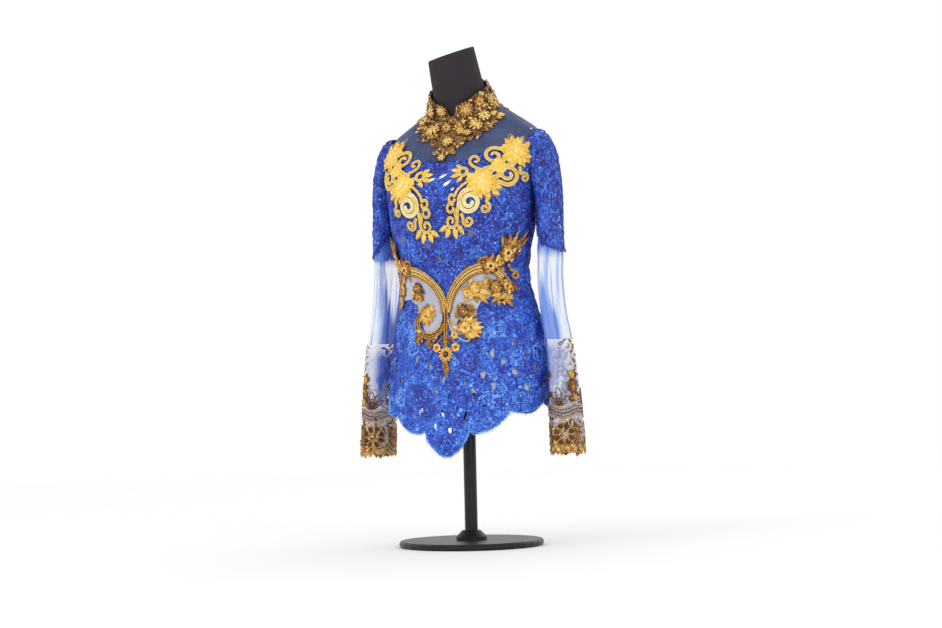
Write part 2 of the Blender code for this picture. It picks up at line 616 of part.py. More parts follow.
def joined(name, shapes, finish, wrap):
    """One body from flat shapes that overlap, then wrapped round the torso."""
    pieces = []
    for k, (vertices, faces) in enumerate(shapes):
        piece = add_object(f"{name}_piece_{k}", vertices, faces, finish)
        pieces.append(piece)
    others = bpy.data.collections.new(f"{name}_pieces")
    for piece in pieces[1:]:
        others.objects.link(piece)
    union = pieces[0].modifiers.new("union", "BOOLEAN")
    union.operation = "UNION"
    union.solver = "EXACT"
    union.operand_type = "COLLECTION"
    union.collection = others
    graph = bpy.context.evaluated_depsgraph_get()
    mesh = bpy.data.meshes.new_from_object(pieces[0].evaluated_get(graph))
    for piece in pieces:
        bpy.data.objects.remove(piece)
    bpy.data.collections.remove(others)
    work = bmesh.new()
    work.from_mesh(mesh)
    bmesh.ops.remove_doubles(work, verts=work.verts, dist=0.000001)
    flat_angle = math.radians(0.3)
    bmesh.ops.dissolve_limit(work, angle_limit=flat_angle, verts=work.verts, edges=work.edges)
    bmesh.ops.triangulate(work, faces=work.faces)
    flat = np.array([v.co[:] for v in work.verts])
    for vertex, place in zip(work.verts, wrap(flat)):
        vertex.co = place
    if work.calc_volume(signed=True) < 0:
        bmesh.ops.reverse_faces(work, faces=work.faces)
    work.to_mesh(mesh)
    work.free()
    mesh.name = name
    mesh.shade_smooth()
    mesh.set_sharp_from_angle(angle=math.radians(40))
    made = bpy.data.objects.new(name, mesh)
    bpy.context.scene.collection.objects.link(made)
    return made


def stem_shape(stem, turn, low, high):
    """A bent leaf stem laid flat; turn is -1 to mirror it."""
    ends = [(stem.x, stem.y), (stem.bend_x, stem.bend_y), (stem.tip_x, stem.tip_y)]
    points = 0.001 * np.array(ends) * (turn, 1)
    return flat_ribbon(points, np.full(3, 0.001 * stem.width), low, high)


def flame_shape(flame, turn, low, high):
    """A pointed leaf laid flat; turn is -1 to mirror it."""
    share, width = np.array(FLAME_SECTION).T
    root, tip = np.array([flame.x, flame.y]), np.array([flame.tip_x, flame.tip_y])
    points = 0.001 * (root + share[:, None] * (tip - root)) * (turn, 1)
    return flat_ribbon(points, 0.001 * flame.width * width, low, high)


def add_chest_applique(name, side, finish):
    """Scrolls and flowers of one chest applique."""
    base = LACE_LIFT + LACE + RELIEF + CHEST_LIFT
    shapes = []
    for k, scroll in enumerate(CHEST_SCROLLS):
        points = 0.001 * np.array(scroll_path(scroll))
        widths = np.full(len(points), 0.001 * scroll.width)
        shapes.append(flat_ribbon(points, widths, base, base + CORD_HIGH - CORD_STEP * k))
    for flame in CHEST_FLAMES:
        shapes.append(flame_shape(flame, 1, base, base + LEAF_HIGH))
    for k, stem in enumerate(CHEST_STEMS):
        shapes.append(stem_shape(stem, 1, base, base + CORD_HIGH - CORD_STEP * (k + 0.5)))
    for bloom in CHEST_BLOOMS:
        scaled = Bloom(0.001 * bloom.x, 0.001 * bloom.y, 0.001 * bloom.radius, bloom.petals)
        shapes.append(flat_bloom(scaled, base, base + BLOOM_HIGH))
    lean = math.radians(CHEST_MIDDLE["lean"][side])

    def wrap(flat):
        x = flat[:, 0] * math.cos(lean) - flat[:, 1] * math.sin(lean)
        y = flat[:, 0] * math.sin(lean) + flat[:, 1] * math.cos(lean)
        angle = math.radians(CHEST_MIDDLE["angle"]) + x / CHEST_RADIUS
        return layer_point(side * angle, CHEST_MIDDLE["up"] + y, flat[:, 2])

    return joined(name, shapes, finish, wrap)


def add_wing_net(name, side, finish):
    """Pale net inside one wing of the waist applique."""
    columns, rows = 12, 5
    degrees = np.linspace(*NET_REACH, columns)
    top = smooth(WING_EDGE, "degrees", "up", degrees) - NET_TUCK
    low = smooth(WING_FOOT, "degrees", "up", degrees)
    base = LACE_LIFT + LACE + RELIEF + NET_LIFT
    outer = np.zeros((rows, columns, 3))
    inner = np.zeros_like(outer)
    for i, t in enumerate(np.linspace(0, 1, rows)):
        up = low + t * (top - low)
        angle = np.radians(WAIST_TURN + side * degrees)
        outer[i] = layer_point(angle, up, np.full_like(up, base + NET))
        inner[i] = layer_point(angle, up, np.full_like(up, base))
    return wall(name, outer, inner, finish)


def add_waist_applique(name, finish):
    """Two corded wings, their flowers, a spray at each side and a medallion on a stem."""
    base = LACE_LIFT + LACE + RELIEF + NET_LIFT + NET + WINGS_LIFT
    top = base + CORD_HIGH
    stem = [(0, up) for up in STEM_WIDTHS]
    drop = [(0, up) for up in DROP_WIDTHS]
    medallion = Bloom(0, MEDALLION["up"], MEDALLION["radius"], MEDALLION["petals"])
    shapes = [
        flat_ribbon(stem, STEM_WIDTHS.values(), base, top),
        flat_ribbon(drop, DROP_WIDTHS.values(), base, top - CORD_STEP),
        flat_bloom(medallion, base, base + BLOOM_HIGH),
    ]
    edge = np.array([(math.radians(s.degrees) * GIRTH_RADIUS, s.up) for s in WING_EDGE])
    for side in (-1, 1):
        turn = np.array([side, 1])
        widths = np.full(len(edge), WING_BAND)
        shapes.append(flat_ribbon(edge * turn, widths, base, top - 3 * CORD_STEP, BAND_SECTION))
        for k, stem in enumerate(WAIST_STEMS):
            shapes.append(stem_shape(stem, side, base, top - CORD_STEP * (k + 4)))
        for flame in WAIST_FLAMES:
            shapes.append(flame_shape(flame, side, base, base + LEAF_HIGH))
        for bloom in WAIST_BLOOMS:
            x, y, radius = side * 0.001 * bloom.x, 0.001 * bloom.y, 0.001 * bloom.radius
            shapes.append(flat_bloom(Bloom(x, y, radius, bloom.petals), base, base + BLOOM_HIGH))

    def wrap(flat):
        angle = math.radians(WAIST_TURN) + flat[:, 0] / GIRTH_RADIUS
        return layer_point(angle, flat[:, 1], flat[:, 2])

    return joined(name, shapes, finish, wrap)


def top_ring(around, scale, sink):
    """A ring in the plane of the neck's tipped top, scaled and sunk below it."""
    rim = torso_point(around, np.full_like(around, TORSO[-1].up))
    middle = rim.mean(axis=0)
    tip, lean = math.radians(TORSO[-1].tip), math.radians(TORSO[-1].lean)
    forward = np.array([0, -math.cos(tip), -math.sin(tip)])
    aside = np.array([math.cos(lean), 0, math.sin(lean)])
    normal = np.cross(forward, aside)
    normal /= np.linalg.norm(normal)
    return middle + scale * (rim - middle) - sink * normal


def capped_rings(name, rings, finish, crease=40):
    """A closed body through rings of points, with a fan at each end."""
    count = len(rings[0])
    vertices = [np.mean(rings[0], axis=0)]
    for ring in rings:
        vertices.extend(ring)
    vertices.append(np.mean(rings[-1], axis=0))
    faces = []
    for j in range(count):
        after = (j + 1) % count
        faces.append((0, 1 + after, 1 + j))
        for i in range(len(rings) - 1):
            a, b = 1 + i * count + j, 1 + i * count + after
            faces.extend([(a, b, b + count), (a, b + count, a + count)])
        last = 1 + (len(rings) - 1) * count
        faces.append((last + j, last + after, len(vertices) - 1))
    return add_object(name, vertices, faces, finish, crease)


def add_dress_form(finish, cap_finish):
    """The padded torso and neck, and the disc set into the neck's top."""
    around = wrapped(np.linspace(0, 2 * math.pi, FORM_COLUMNS, endpoint=False))
    rings = [torso_point(around, np.full_like(around, up)) for up in FORM_HEIGHTS]
    rings += [top_ring(around, disc.share, disc.sink) for disc in NECK_RIM]
    capped_rings("dress_form", rings, finish)
    sunk = NECK_RIM[-1].sink - SEAM_GAP
    cap = [top_ring(around, CAP["share"], sunk),
           top_ring(around, CAP["foot_share"], sunk - CAP["thick"])]
    capped_rings("neck_cap", cap, cap_finish)


def circle(radius, z, count=32):
    """Points of a level circle round the pole's axis."""
    turn = np.linspace(0, 2 * math.pi, count, endpoint=False)
    return np.stack([radius * np.cos(turn), radius * np.sin(turn), np.full(count, z)], axis=-1)


def add_stand(finish):
    """A round base, the flange on it and the pole that carries the torso."""
    inset = BASE_RADIUS - BASE_EDGE
    base = [circle(inset, 0), circle(BASE_RADIUS, BASE_EDGE),
            circle(BASE_RADIUS, BASE_THICK - BASE_EDGE), circle(inset, BASE_THICK)]
    capped_rings("stand_base", base, finish)
    foot = BASE_THICK + SEAM_GAP
    head = WAIST_HEIGHT + FORM_FOOT - SEAM_GAP
    pole = [circle(POLE_RADIUS, foot, 16), circle(POLE_RADIUS, head, 16)]
    capped_rings("stand_pole", pole, finish)
    clear = POLE_RADIUS + SEAM_GAP
    outer = [circle(FLANGE_RADIUS, foot, 24), circle(FLANGE_RADIUS, foot + FLANGE_FOOT, 24),
             circle(clear + FLANGE_WALL, foot + FLANGE_THICK, 24)]
    inner = [circle(clear, foot, 24), circle(clear, foot + FLANGE_FOOT, 24),
             circle(clear, foot + FLANGE_THICK, 24)]
    wall("stand_flange", np.array(outer), np.array(inner), finish, closed=True)


def front_gaps(i, j, rows, columns):
    """Lace gaps of the front: a half-drop repeat on the peplum and three at the neckline."""
    if i == 2 and j in (columns // 2 - 3, columns // 2 - 1, columns // 2 + 1):
        return True
    return i >= rows - 5 and i < rows - 1 and 0 < j < columns - 1 and (i + j) % 2 == 0


def back_gaps(i, j, rows, columns):
    """Lace gaps of a back: the same repeat, nearer the hem."""
    return i >= rows - 4 and i < rows - 1 and 0 < j < columns - 1 and (i + j) % 2 == 0


def build():
    """Every piece of the blouse and of the stand."""
    blue = material("blue lace", (0.05, 0.14, 0.72), 0.45)
    navy = material("navy tulle", (0.05, 0.07, 0.22), 0.7, alpha=0.6)
    sheer = material("sheer blue tulle", (0.35, 0.50, 0.85), 0.7, alpha=0.45)
    gold = material("gold cord", (0.83, 0.62, 0.20), 0.35, 0.3)
    brown = material("brown and gold lace", (0.32, 0.18, 0.08), 0.45, 0.2)
    pale = material("pale net", (0.62, 0.62, 0.66), 0.7, alpha=0.8)
    lining = material("grey beige lining", (0.55, 0.50, 0.48), 0.6)
    black = material("black jersey", (0.03, 0.028, 0.03), 0.85)
    cap = material("black cap", (0.02, 0.018, 0.02), 0.6)
    steel = material("black painted steel", (0.02, 0.02, 0.022), 0.35)

    add_stand(steel)
    add_dress_form(black, cap)
    add_lining("lining_front", True, lining)
    add_lining("lining_back", False, lining)
    add_bodice("bodice_front", -90, 90, BODY_ROWS, 1, blue, front_gaps)
    add_yoke("yoke_front", -90, 90, YOKE_COLUMNS, YOKE_ROWS, 1, navy)
    add_bib("collar_bib", gold)
    add_wing_net("waist_net_l", 1, pale)
    add_wing_net("waist_net_r", -1, pale)
    add_waist_applique("waist_applique", gold)
    for tag, side in (("l", 1), ("r", -1)):
        add_bodice(f"bodice_back_{tag}", 90, 180, BODY_ROWS, side, blue, back_gaps)
        add_yoke(f"yoke_back_{tag}", 90, 180, YOKE_BACK_COLUMNS, YOKE_ROWS, side, navy)
        add_collar(f"collar_{tag}", side, gold)
        add_chest_applique(f"chest_applique_{tag}", side, gold)
        upper = sleeve_grid(UPPER_SLEEVE, side, LACE, SLEEVE_COLUMNS)
        wall(f"sleeve_upper_{tag}", *upper, blue, closed=True)
        lower = sleeve_grid(LOWER_SLEEVE, side, CLOTH, 4 * GATHERS)
        wall(f"sleeve_lower_{tag}", *lower, sheer, closed=True)
        cuff = sleeve_grid(CUFF, side, LACE, 3 * CUFF_SCALLOPS, CUFF_SCALLOP_DEPTH)
        wall(f"cuff_{tag}", *cuff, brown, closed=True)


for old in list(bpy.data.objects):
    bpy.data.objects.remove(old)
build()
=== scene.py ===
import json
import math
import random
import bmesh
import bpy
import numpy as np
from math import cos, pi, radians, sin
from mathutils import Matrix, Vector

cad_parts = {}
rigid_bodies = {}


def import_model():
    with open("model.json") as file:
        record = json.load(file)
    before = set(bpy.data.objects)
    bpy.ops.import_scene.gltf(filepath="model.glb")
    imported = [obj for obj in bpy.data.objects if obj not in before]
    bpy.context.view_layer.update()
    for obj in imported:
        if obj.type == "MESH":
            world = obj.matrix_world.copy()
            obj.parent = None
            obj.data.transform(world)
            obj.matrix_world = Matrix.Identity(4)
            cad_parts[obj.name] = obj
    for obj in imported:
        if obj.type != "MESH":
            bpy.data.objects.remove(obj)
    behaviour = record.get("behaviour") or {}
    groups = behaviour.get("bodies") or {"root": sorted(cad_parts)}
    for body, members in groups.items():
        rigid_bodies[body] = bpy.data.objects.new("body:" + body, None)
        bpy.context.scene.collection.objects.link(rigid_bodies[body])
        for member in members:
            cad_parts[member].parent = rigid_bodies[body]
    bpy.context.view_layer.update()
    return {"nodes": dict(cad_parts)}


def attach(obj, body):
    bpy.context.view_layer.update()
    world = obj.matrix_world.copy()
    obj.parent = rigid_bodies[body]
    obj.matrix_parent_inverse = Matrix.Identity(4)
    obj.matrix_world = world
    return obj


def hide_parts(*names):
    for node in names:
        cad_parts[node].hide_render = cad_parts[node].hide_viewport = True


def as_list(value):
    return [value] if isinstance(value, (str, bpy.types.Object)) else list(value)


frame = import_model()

print("stage: camera, floor and lights")
viewpoint = {"azimuth": 22.0, "distance": 3.80, "height": 0.282, "yaw": 0.13, "pitch": 2.52, "roll": 1.3,
             "sensor": 36.0, "pixelsAcross": 942, "focalPixels": 1953.0}
mm = 0.001


def linked(name, data):
    made = bpy.data.objects.new(name, data)
    bpy.context.scene.collection.objects.link(made)
    return made


def swung(first, second, angle):  # two square axes turned about the third
    return (cos(angle) * first + sin(angle) * second,
            cos(angle) * second - sin(angle) * first)


def placeCamera():
    azimuth, yaw, pitch, roll = (radians(viewpoint[k]) for k in ("azimuth", "yaw", "pitch", "roll"))
    ahead = Vector((-sin(azimuth), cos(azimuth), 0))
    right = Vector((cos(azimuth), sin(azimuth), 0))
    up = Vector((0, 0, 1))
    place = -viewpoint["distance"] * ahead + viewpoint["height"] * up
    ahead, right = swung(ahead, right, yaw)
    ahead, up = swung(ahead, up, pitch)
    up, right = swung(up, right, roll)
    data = bpy.data.cameras.new("camera")
    data.sensor_width = viewpoint["sensor"]
    data.lens = viewpoint["focalPixels"] / viewpoint["pixelsAcross"] * viewpoint["sensor"]
    data.dof.use_dof = False
    camera = linked("camera", data)
    turn = Matrix((right, up, -ahead)).transposed()
    camera.matrix_world = Matrix.Translation(place) @ turn.to_4x4()
    bpy.context.scene.camera = camera


def addNode(tree, kind, settings=None, inputs=None, out=0):
    made = tree.nodes.new(kind)
    for key, value in (settings or {}).items():
        if key == "stops":
            for _ in range(len(value) - 2):
                made.color_ramp.elements.new(0.5)
            for element, (at, colour) in zip(made.color_ramp.elements, value):
                element.position = at
                element.color = (*colour, 1)
        else:
            setattr(made, key, value)
    for key, value in (inputs or {}).items():
        value = getattr(value, "socket", value)
        if isinstance(value, bpy.types.NodeSocket):
            tree.links.new(value, made.inputs[key])
        else:
            made.inputs[key].default_value = value
    return made.outputs[out]


class Wire:  # a socket that Python arithmetic works on
    def __init__(self, paint, socket):
        self.paint, self.socket = paint, socket

    def __add__(self, other):
        return self.paint.maths("ADD", self, other)

    def __radd__(self, other):
        return self.paint.maths("ADD", other, self)

    def __sub__(self, other):
        return self.paint.maths("SUBTRACT", self, other)

    def __rsub__(self, other):
        return self.paint.maths("SUBTRACT", other, self)

    def __mul__(self, other):
        return self.paint.maths("MULTIPLY", self, other)

    def __rmul__(self, other):
        return self.paint.maths("MULTIPLY", other, self)


class Paint:  # a material and the nodes that feed its shader
    def __init__(self, name, fixed):
        self.material = bpy.data.materials.new(name)
        self.material.use_nodes = True
        self.tree = self.material.node_tree
        self.shader = self.tree.nodes["Principled BSDF"]
        for socket, value in fixed.items():
            self.shader.inputs[socket].default_value = value

    def node(self, kind, settings=None, inputs=None, out=0):
        return Wire(self, addNode(self.tree, kind, settings, inputs, out))

    def maths(self, operation, *values):
        return self.node("ShaderNodeMath", {"operation": operation}, dict(enumerate(values)))

    def vector(self, operation, *values, out=0):
        return self.node("ShaderNodeVectorMath", {"operation": operation}, dict(enumerate(values)), out)

    def mix(self, factor, first, second):
        first, second = (c if isinstance(c, Wire) else (*c, 1) for c in (first, second))
        return self.node("ShaderNodeMix", {"data_type": "RGBA"}, {0: factor, 6: first, 7: second}, 2)

    def ramp(self, tone, *stops):
        return self.node("ShaderNodeValToRGB", {"stops": stops}, {0: tone})

    def between(self, value, low, high):
        return self.node("ShaderNodeMapRange", {"interpolation_type": "SMOOTHSTEP"},
                         {0: value, 1: low, 2: high})

    def uv(self, across=1.0, along=1.0):
        cut = self.node("ShaderNodeUVMap", {"uv_map": "cut"})
        return self.vector("MULTIPLY", cut, (across, along, 1.0))

    def place(self):
        return self.node("ShaderNodeTexCoord", out=3)

    def part(self, vector, axis):
        return self.node("ShaderNodeSeparateXYZ", None, {0: vector}, axis)

    def attribute(self, name):
        return self.node("ShaderNodeAttribute", {"attribute_name": name}, out=2)

    def noise(self, vector, scale, detail=2.0, rough=0.5):
        return self.node("ShaderNodeTexNoise", None, {0: vector, 2: scale, 3: detail, 4: rough})

    def cells(self, vector, scale, flat=True, out=0):
        kind = {"voronoi_dimensions": "2D" if flat else "3D"}
        return self.node("ShaderNodeTexVoronoi", kind, {0: vector, 2: scale}, out)

    def feed(self, **wires):
        for name, wire in wires.items():
            self.tree.links.new(wire.socket, self.shader.inputs[name.replace("_", " ")])
        return self.material

    def bump(self, height, distance, strength=1.0):
        return self.node("ShaderNodeBump", None, {"Height": height, "Distance": distance,
                                                  "Strength": strength})


def linear(red, green, blue):  # the look of a colour on a screen, 0 to 255, as light
    return tuple(((c / 255 + 0.055) / 1.055) ** 2.4 if c > 10 else c / 255 / 12.92
                 for c in (red, green, blue))


def meshOf(name, points, faces=(), edges=()):
    mesh = bpy.data.meshes.new(name)
    mesh.from_pydata([tuple(map(float, p)) for p in points], edges, faces)
    return mesh


def addMesh(name, points, faces, material, uv=None, smooth=True):
    mesh = meshOf(name, points, faces)
    if uv is not None:
        layer = mesh.uv_layers.new(name="cut")
        index = np.empty(len(mesh.loops), dtype=np.int32)
        mesh.loops.foreach_get("vertex_index", index)
        layer.data.foreach_set("uv", np.asarray(uv, dtype=np.float32)[index].ravel())
    mesh.materials.append(material)
    if smooth:
        mesh.shade_smooth()
    return linked(name, mesh)


def keepNumbers(mesh, kind="FLOAT", **numbers):  # numbers at each point, for materials and trees
    field = "value" if kind == "FLOAT" else "vector"
    for key, values in numbers.items():
        layer = mesh.attributes.new(key, kind, "POINT")
        layer.data.foreach_set(field, np.asarray(values, dtype=np.float32).ravel())


floorLook = {"radius": 9.0, "solid": 1.0, "clear": 5.0, "shade": linear(246, 246, 246), "roughness": 0.75}


def addFloor():
    paint = Paint("pale floor", {"Roughness": floorLook["roughness"], "Specular IOR Level": 0.2})
    far = paint.vector("LENGTH", paint.place(), out=1)
    grain = paint.noise(paint.place(), 60.0, 3.0)
    shade = paint.mix(grain * 0.04, floorLook["shade"], (0.86, 0.86, 0.86))
    fade = paint.between(far, floorLook["solid"], floorLook["clear"])
    material = paint.feed(Base_Color=shade, Alpha=1 - fade)
    turns = [2 * pi * k / 96 for k in range(96)]
    rim = [(floorLook["radius"] * cos(t), floorLook["radius"] * sin(t), 0) for t in turns]
    floor = addMesh("floor", rim, [tuple(range(96))], material, smooth=False)


lights = [
    {"name": "key", "place": (-1.5, -3.2, 2.6), "size": 2.2, "watts": 22},
    {"name": "fill", "place": (3.2, -2.6, 1.5), "size": 2.4, "watts": 12},
    {"name": "rim", "place": (0.6, 3.4, 2.6), "size": 2.4, "watts": 12},
]


def addLights():
    world = bpy.data.worlds.new("studio")
    bpy.context.scene.world = world
    world.use_nodes = True
    world.node_tree.nodes["Background"].inputs[0].default_value = (1, 1, 1, 1)
    world.node_tree.nodes["Background"].inputs[1].default_value = 1.0
    bpy.context.scene.view_settings.view_transform = "Standard"
    for light in lights:
        data = bpy.data.lights.new(light["name"], "AREA")
        data.shape, data.size, data.energy = "DISK", light["size"], light["watts"]
        lamp = linked(light["name"], data)
        lamp.location = light["place"]
        away = Vector(light["place"]) - Vector((0, 0, 0.6))
        lamp.rotation_euler = away.to_track_quat("Z", "Y").to_euler()


placeCamera()
addFloor()
addLights()

print("stage: the torso that every layer is worked out from")
waistHeight = 0.500
torsoRows = np.array([  # up, half width, half depth, middle, tip, squareness, lean
    (-0.340, 0.1582, 0.1162, 0.006, 0, 2.1, 0), (-0.240, 0.1562, 0.1132, 0.006, 0, 2.1, 0),
    (-0.190, 0.1537, 0.1107, 0.007, 0, 2.1, 0), (-0.140, 0.1502, 0.1067, 0.010, 0, 2.1, 0),
    (-0.080, 0.1412, 0.1012, 0.013, 0, 2.1, 0), (-0.035, 0.1292, 0.0942, 0.012, 0, 2.1, 0),
    (0.000, 0.1217, 0.0902, 0.006, 0, 2.1, 0), (0.040, 0.1212, 0.0912, -0.006, 0, 2.1, 0),
    (0.080, 0.1272, 0.0972, -0.009, 0, 2.2, 0), (0.120, 0.1347, 0.1032, -0.007, 0, 2.3, 0),
    (0.160, 0.1387, 0.1062, -0.004, 0, 2.4, 0), (0.200, 0.1432, 0.1042, 0.002, 0, 2.6, 0),
    (0.240, 0.1467, 0.0982, 0.010, 2, 2.8, 0), (0.270, 0.1482, 0.0882, 0.018, 4, 2.8, 0),
    (0.290, 0.1462, 0.0772, 0.022, 6, 2.6, 0), (0.304, 0.1362, 0.0682, 0.023, 9, 2.4, 0),
    (0.318, 0.1172, 0.0612, 0.021, 13, 2.2, 0), (0.332, 0.0942, 0.0567, 0.016, 18, 2.1, 0),
    (0.346, 0.0722, 0.0542, 0.009, 23, 2.0, 0), (0.362, 0.0590, 0.0530, -0.001, 28, 2.0, 0),
    (0.385, 0.0510, 0.0500, -0.015, 31, 2.0, 1), (0.415, 0.0480, 0.0480, -0.032, 27, 2.0, 5),
    (0.450, 0.0455, 0.0465, -0.050, 18, 2.0, 12)])
bust = {"out": 0.013, "angle": 0.52, "up": 0.170, "spread": 0.42, "rise": 0.050}
lifts = {"lining": 0.0010, "lace": 0.0050, "net": 0.0089, "applique": 0.0083, "wings": 0.0111, "bib": 0.0074}
armhole = {"x": 0.1413, "foot": 0.120, "tuck": 0.0080}  # the tuck runs on into the sleeve


def through(keys, values, at):
    keys, values = np.asarray(keys, float), np.asarray(values, float)
    slopes = np.gradient(values, keys)
    k = np.clip(np.searchsorted(keys, at) - 1, 0, len(keys) - 2)
    step = keys[k + 1] - keys[k]
    t = np.clip((at - keys[k]) / step, 0, 1)
    start = (1 + 2 * t) * (1 - t) ** 2 * values[k] + t * (1 - t) ** 2 * step * slopes[k]
    return start + t * t * (3 - 2 * t) * values[k + 1] + t * t * (t - 1) * step * slopes[k + 1]


def torsoPoint(angle, up):
    angle, up = np.broadcast_arrays(np.asarray(angle, float), np.asarray(up, float))
    halfWidth, halfDepth, middle, tip, power, lean = (through(torsoRows[:, 0], torsoRows[:, k], up)
                                                      for k in range(1, 7))
    across = np.abs(np.sin(angle) / halfWidth) ** power
    along = np.abs(np.cos(angle) / halfDepth) ** power
    radius = (across + along) ** (-1.0 / power)
    for side in (-1, 1):
        swell = (angle - side * bust["angle"]) / bust["spread"]
        radius = radius + bust["out"] * np.exp(-swell**2 - ((up - bust["up"]) / bust["rise"]) ** 2)
    tip, lean = np.radians(tip), np.radians(lean)
    reach, aside = radius * np.cos(angle), radius * np.sin(angle)
    height = waistHeight + up - reach * np.sin(tip) + aside * np.sin(lean)
    return np.stack([aside * np.cos(lean), middle - reach * np.cos(tip), height], -1)


def torsoNormal(angle, up):
    small = 1e-3
    up = np.clip(np.asarray(up, float), torsoRows[0, 0] + small, torsoRows[-1, 0] - small)
    normal = np.cross(torsoPoint(angle + small, up) - torsoPoint(angle - small, up),
                      torsoPoint(angle, up + small) - torsoPoint(angle, up - small))
    return normal / np.linalg.norm(normal, axis=-1, keepdims=True)


def lifted(angle, up, lift):
    return torsoPoint(angle, up) + np.asarray(lift)[..., None] * torsoNormal(angle, up)


def wrapTurn(angle):
    return (np.asarray(angle) + pi) % (2 * pi) - pi


print("stage: materials")
blues = {"deep": linear(34, 34, 120), "dark": linear(40, 52, 170), "mid": linear(48, 98, 214),
         "light": linear(84, 150, 240)}
lacePattern = {"cell": 44.0, "petals": 7.0, "rings": 8.5, "thread": 900.0, "bumpMetres": 0.0012}


def laceBlue(paint):  # corded whorls, one in each cell, over a net ground
    flat = paint.uv()
    wander = paint.node("ShaderNodeTexNoise", None, {0: flat, 2: 55.0, 3: 2.0}, 1)
    shift = paint.vector("SUBTRACT", wander, (0.5, 0.5, 0.5))
    flat = paint.vector("ADD", flat, paint.vector("MULTIPLY", shift, (0.010, 0.010, 0.0)))
    centre, pick = (paint.cells(flat, lacePattern["cell"], out=k) for k in (2, 1))
    local = paint.vector("SUBTRACT", flat, centre)
    turn = paint.maths("ARCTAN2", paint.part(local, 1), paint.part(local, 0))
    far = paint.vector("LENGTH", local, out=1) * lacePattern["cell"]
    chance = paint.node("ShaderNodeSeparateColor", None, {0: pick})
    petals = paint.maths("SINE", turn * lacePattern["petals"] + chance * 6.28 + far * 5.0)
    rings = paint.maths("SINE", far * lacePattern["rings"] * 2.2 + turn)
    thread = paint.noise(flat, lacePattern["thread"], 2.0, 0.7)
    return flat, petals * 0.34 + rings * 0.26 + thread * 0.5 + 0.35, chance


def bluePaint(name, gaps=False):
    paint = Paint(name, {"Roughness": 0.5, "Specular IOR Level": 0.45, "Sheen Weight": 0.0})
    flat, high, chance = laceBlue(paint)
    patch = paint.noise(flat, 26.0, 3.0, 0.6)
    # tone follows the cords' height: partly the darker net ground between the cords, partly painted shade in
    # the hollows and painted highlight on the cords
    tone = high * 0.65 + (patch - 0.5) * 1.3 + chance * 0.15
    colour = paint.ramp(tone, (0.05, blues["deep"]), (0.30, blues["dark"]), (0.55, blues["mid"]),
                        (0.92, blues["light"]))
    # painted highlight: pale sequin glints mixed into the colour, with lower roughness where they fall
    spark = paint.cells(flat, 420.0)
    paintedGlint = paint.between(spark, 0.16, 0.08) * paint.between(paint.noise(flat, 330.0, 0.0), 0.52, 0.60)
    colour = paint.mix(paintedGlint * 0.7, colour, linear(150, 195, 250))
    wires = {"Base_Color": colour, "Roughness": 0.62 - paintedGlint * 0.4,
             "Normal": paint.bump(high, lacePattern["bumpMetres"], 0.9)}
    if gaps:
        rough = (paint.noise(flat, 210.0, 2.0) - 0.5) * 0.004
        wires["Alpha"] = paint.between(paint.attribute("gap") + rough, -0.0006, 0.0006)
        thin = paint.between(paint.attribute("bare") + rough, 0.0008, -0.0008)
        wires["Base_Color"] = paint.mix(thin, colour, linear(104, 102, 122))
    return paint.feed(**wires)


def tullePaint(name, colour, clear, mesh, streak=None):
    paint = Paint(name, {"Roughness": 0.65, "Specular IOR Level": 0.25})
    flat = paint.uv()
    holes = paint.cells(flat, mesh)
    weave = paint.between(holes, 0.15, 0.62)
    cover = weave * clear["mesh"] + clear["ground"]
    cloud = paint.noise(flat, 18.0, 3.0)
    shade = paint.mix(paint.between(cloud, 0.3, 0.75), colour["deep"], colour["light"])
    if streak:
        long = paint.uv(streak["across"], streak["along"])
        fold = paint.between(paint.noise(long, 1.0, 3.0, 0.55), streak["low"], streak["high"])
        dense = paint.attribute("dense")
        cover = paint.maths("MINIMUM", cover + fold * streak["cover"] + dense * streak["dense"], 0.97)
        shade = paint.mix(paint.maths("MINIMUM", fold * 0.6 + dense, 1.0), shade, colour["fold"])
    return paint.feed(Base_Color=shade, Alpha=cover, Normal=paint.bump(holes, 0.0003, 0.5))


def goldPaint(name, light, mid, deep, metal=0.35, patch=90.0):
    paint = Paint(name, {"Metallic": metal, "Specular IOR Level": 0.5})
    where = paint.place()
    cloud = paint.noise(where, patch, 3.0, 0.65)
    fine = paint.noise(where, 1500.0, 2.0, 0.6)
    colour = paint.ramp(cloud * 0.75 + fine * 0.45 - 0.10, (0.28, deep), (0.48, mid), (0.68, light))
    knot = paint.cells(where, 700.0, flat=False)
    height = fine * 0.6 + knot * 0.7
    return paint.feed(Base_Color=colour, Roughness=fine * 0.25 + 0.38, Normal=paint.bump(height, 0.0006, 0.8))


def clothPaint(name, dark, light, rough, scale, distance, skirt=None):  # skirt: the colour under the waist
    paint = Paint(name, {"Specular IOR Level": 0.3})
    where = paint.place()
    knit = paint.noise(where, scale, 2.0, 0.6)
    cloud = paint.noise(where, 14.0, 3.0, 0.55)
    colour = paint.mix(cloud * 0.6 + knit * 0.4, dark, light)
    if skirt:
        colour = paint.mix(paint.between(paint.part(where, 2), 0.475, 0.405), colour, skirt)
    return paint.feed(Base_Color=colour, Roughness=rough + knit * 0.15,
                      Normal=paint.bump(knit, distance, 0.7))


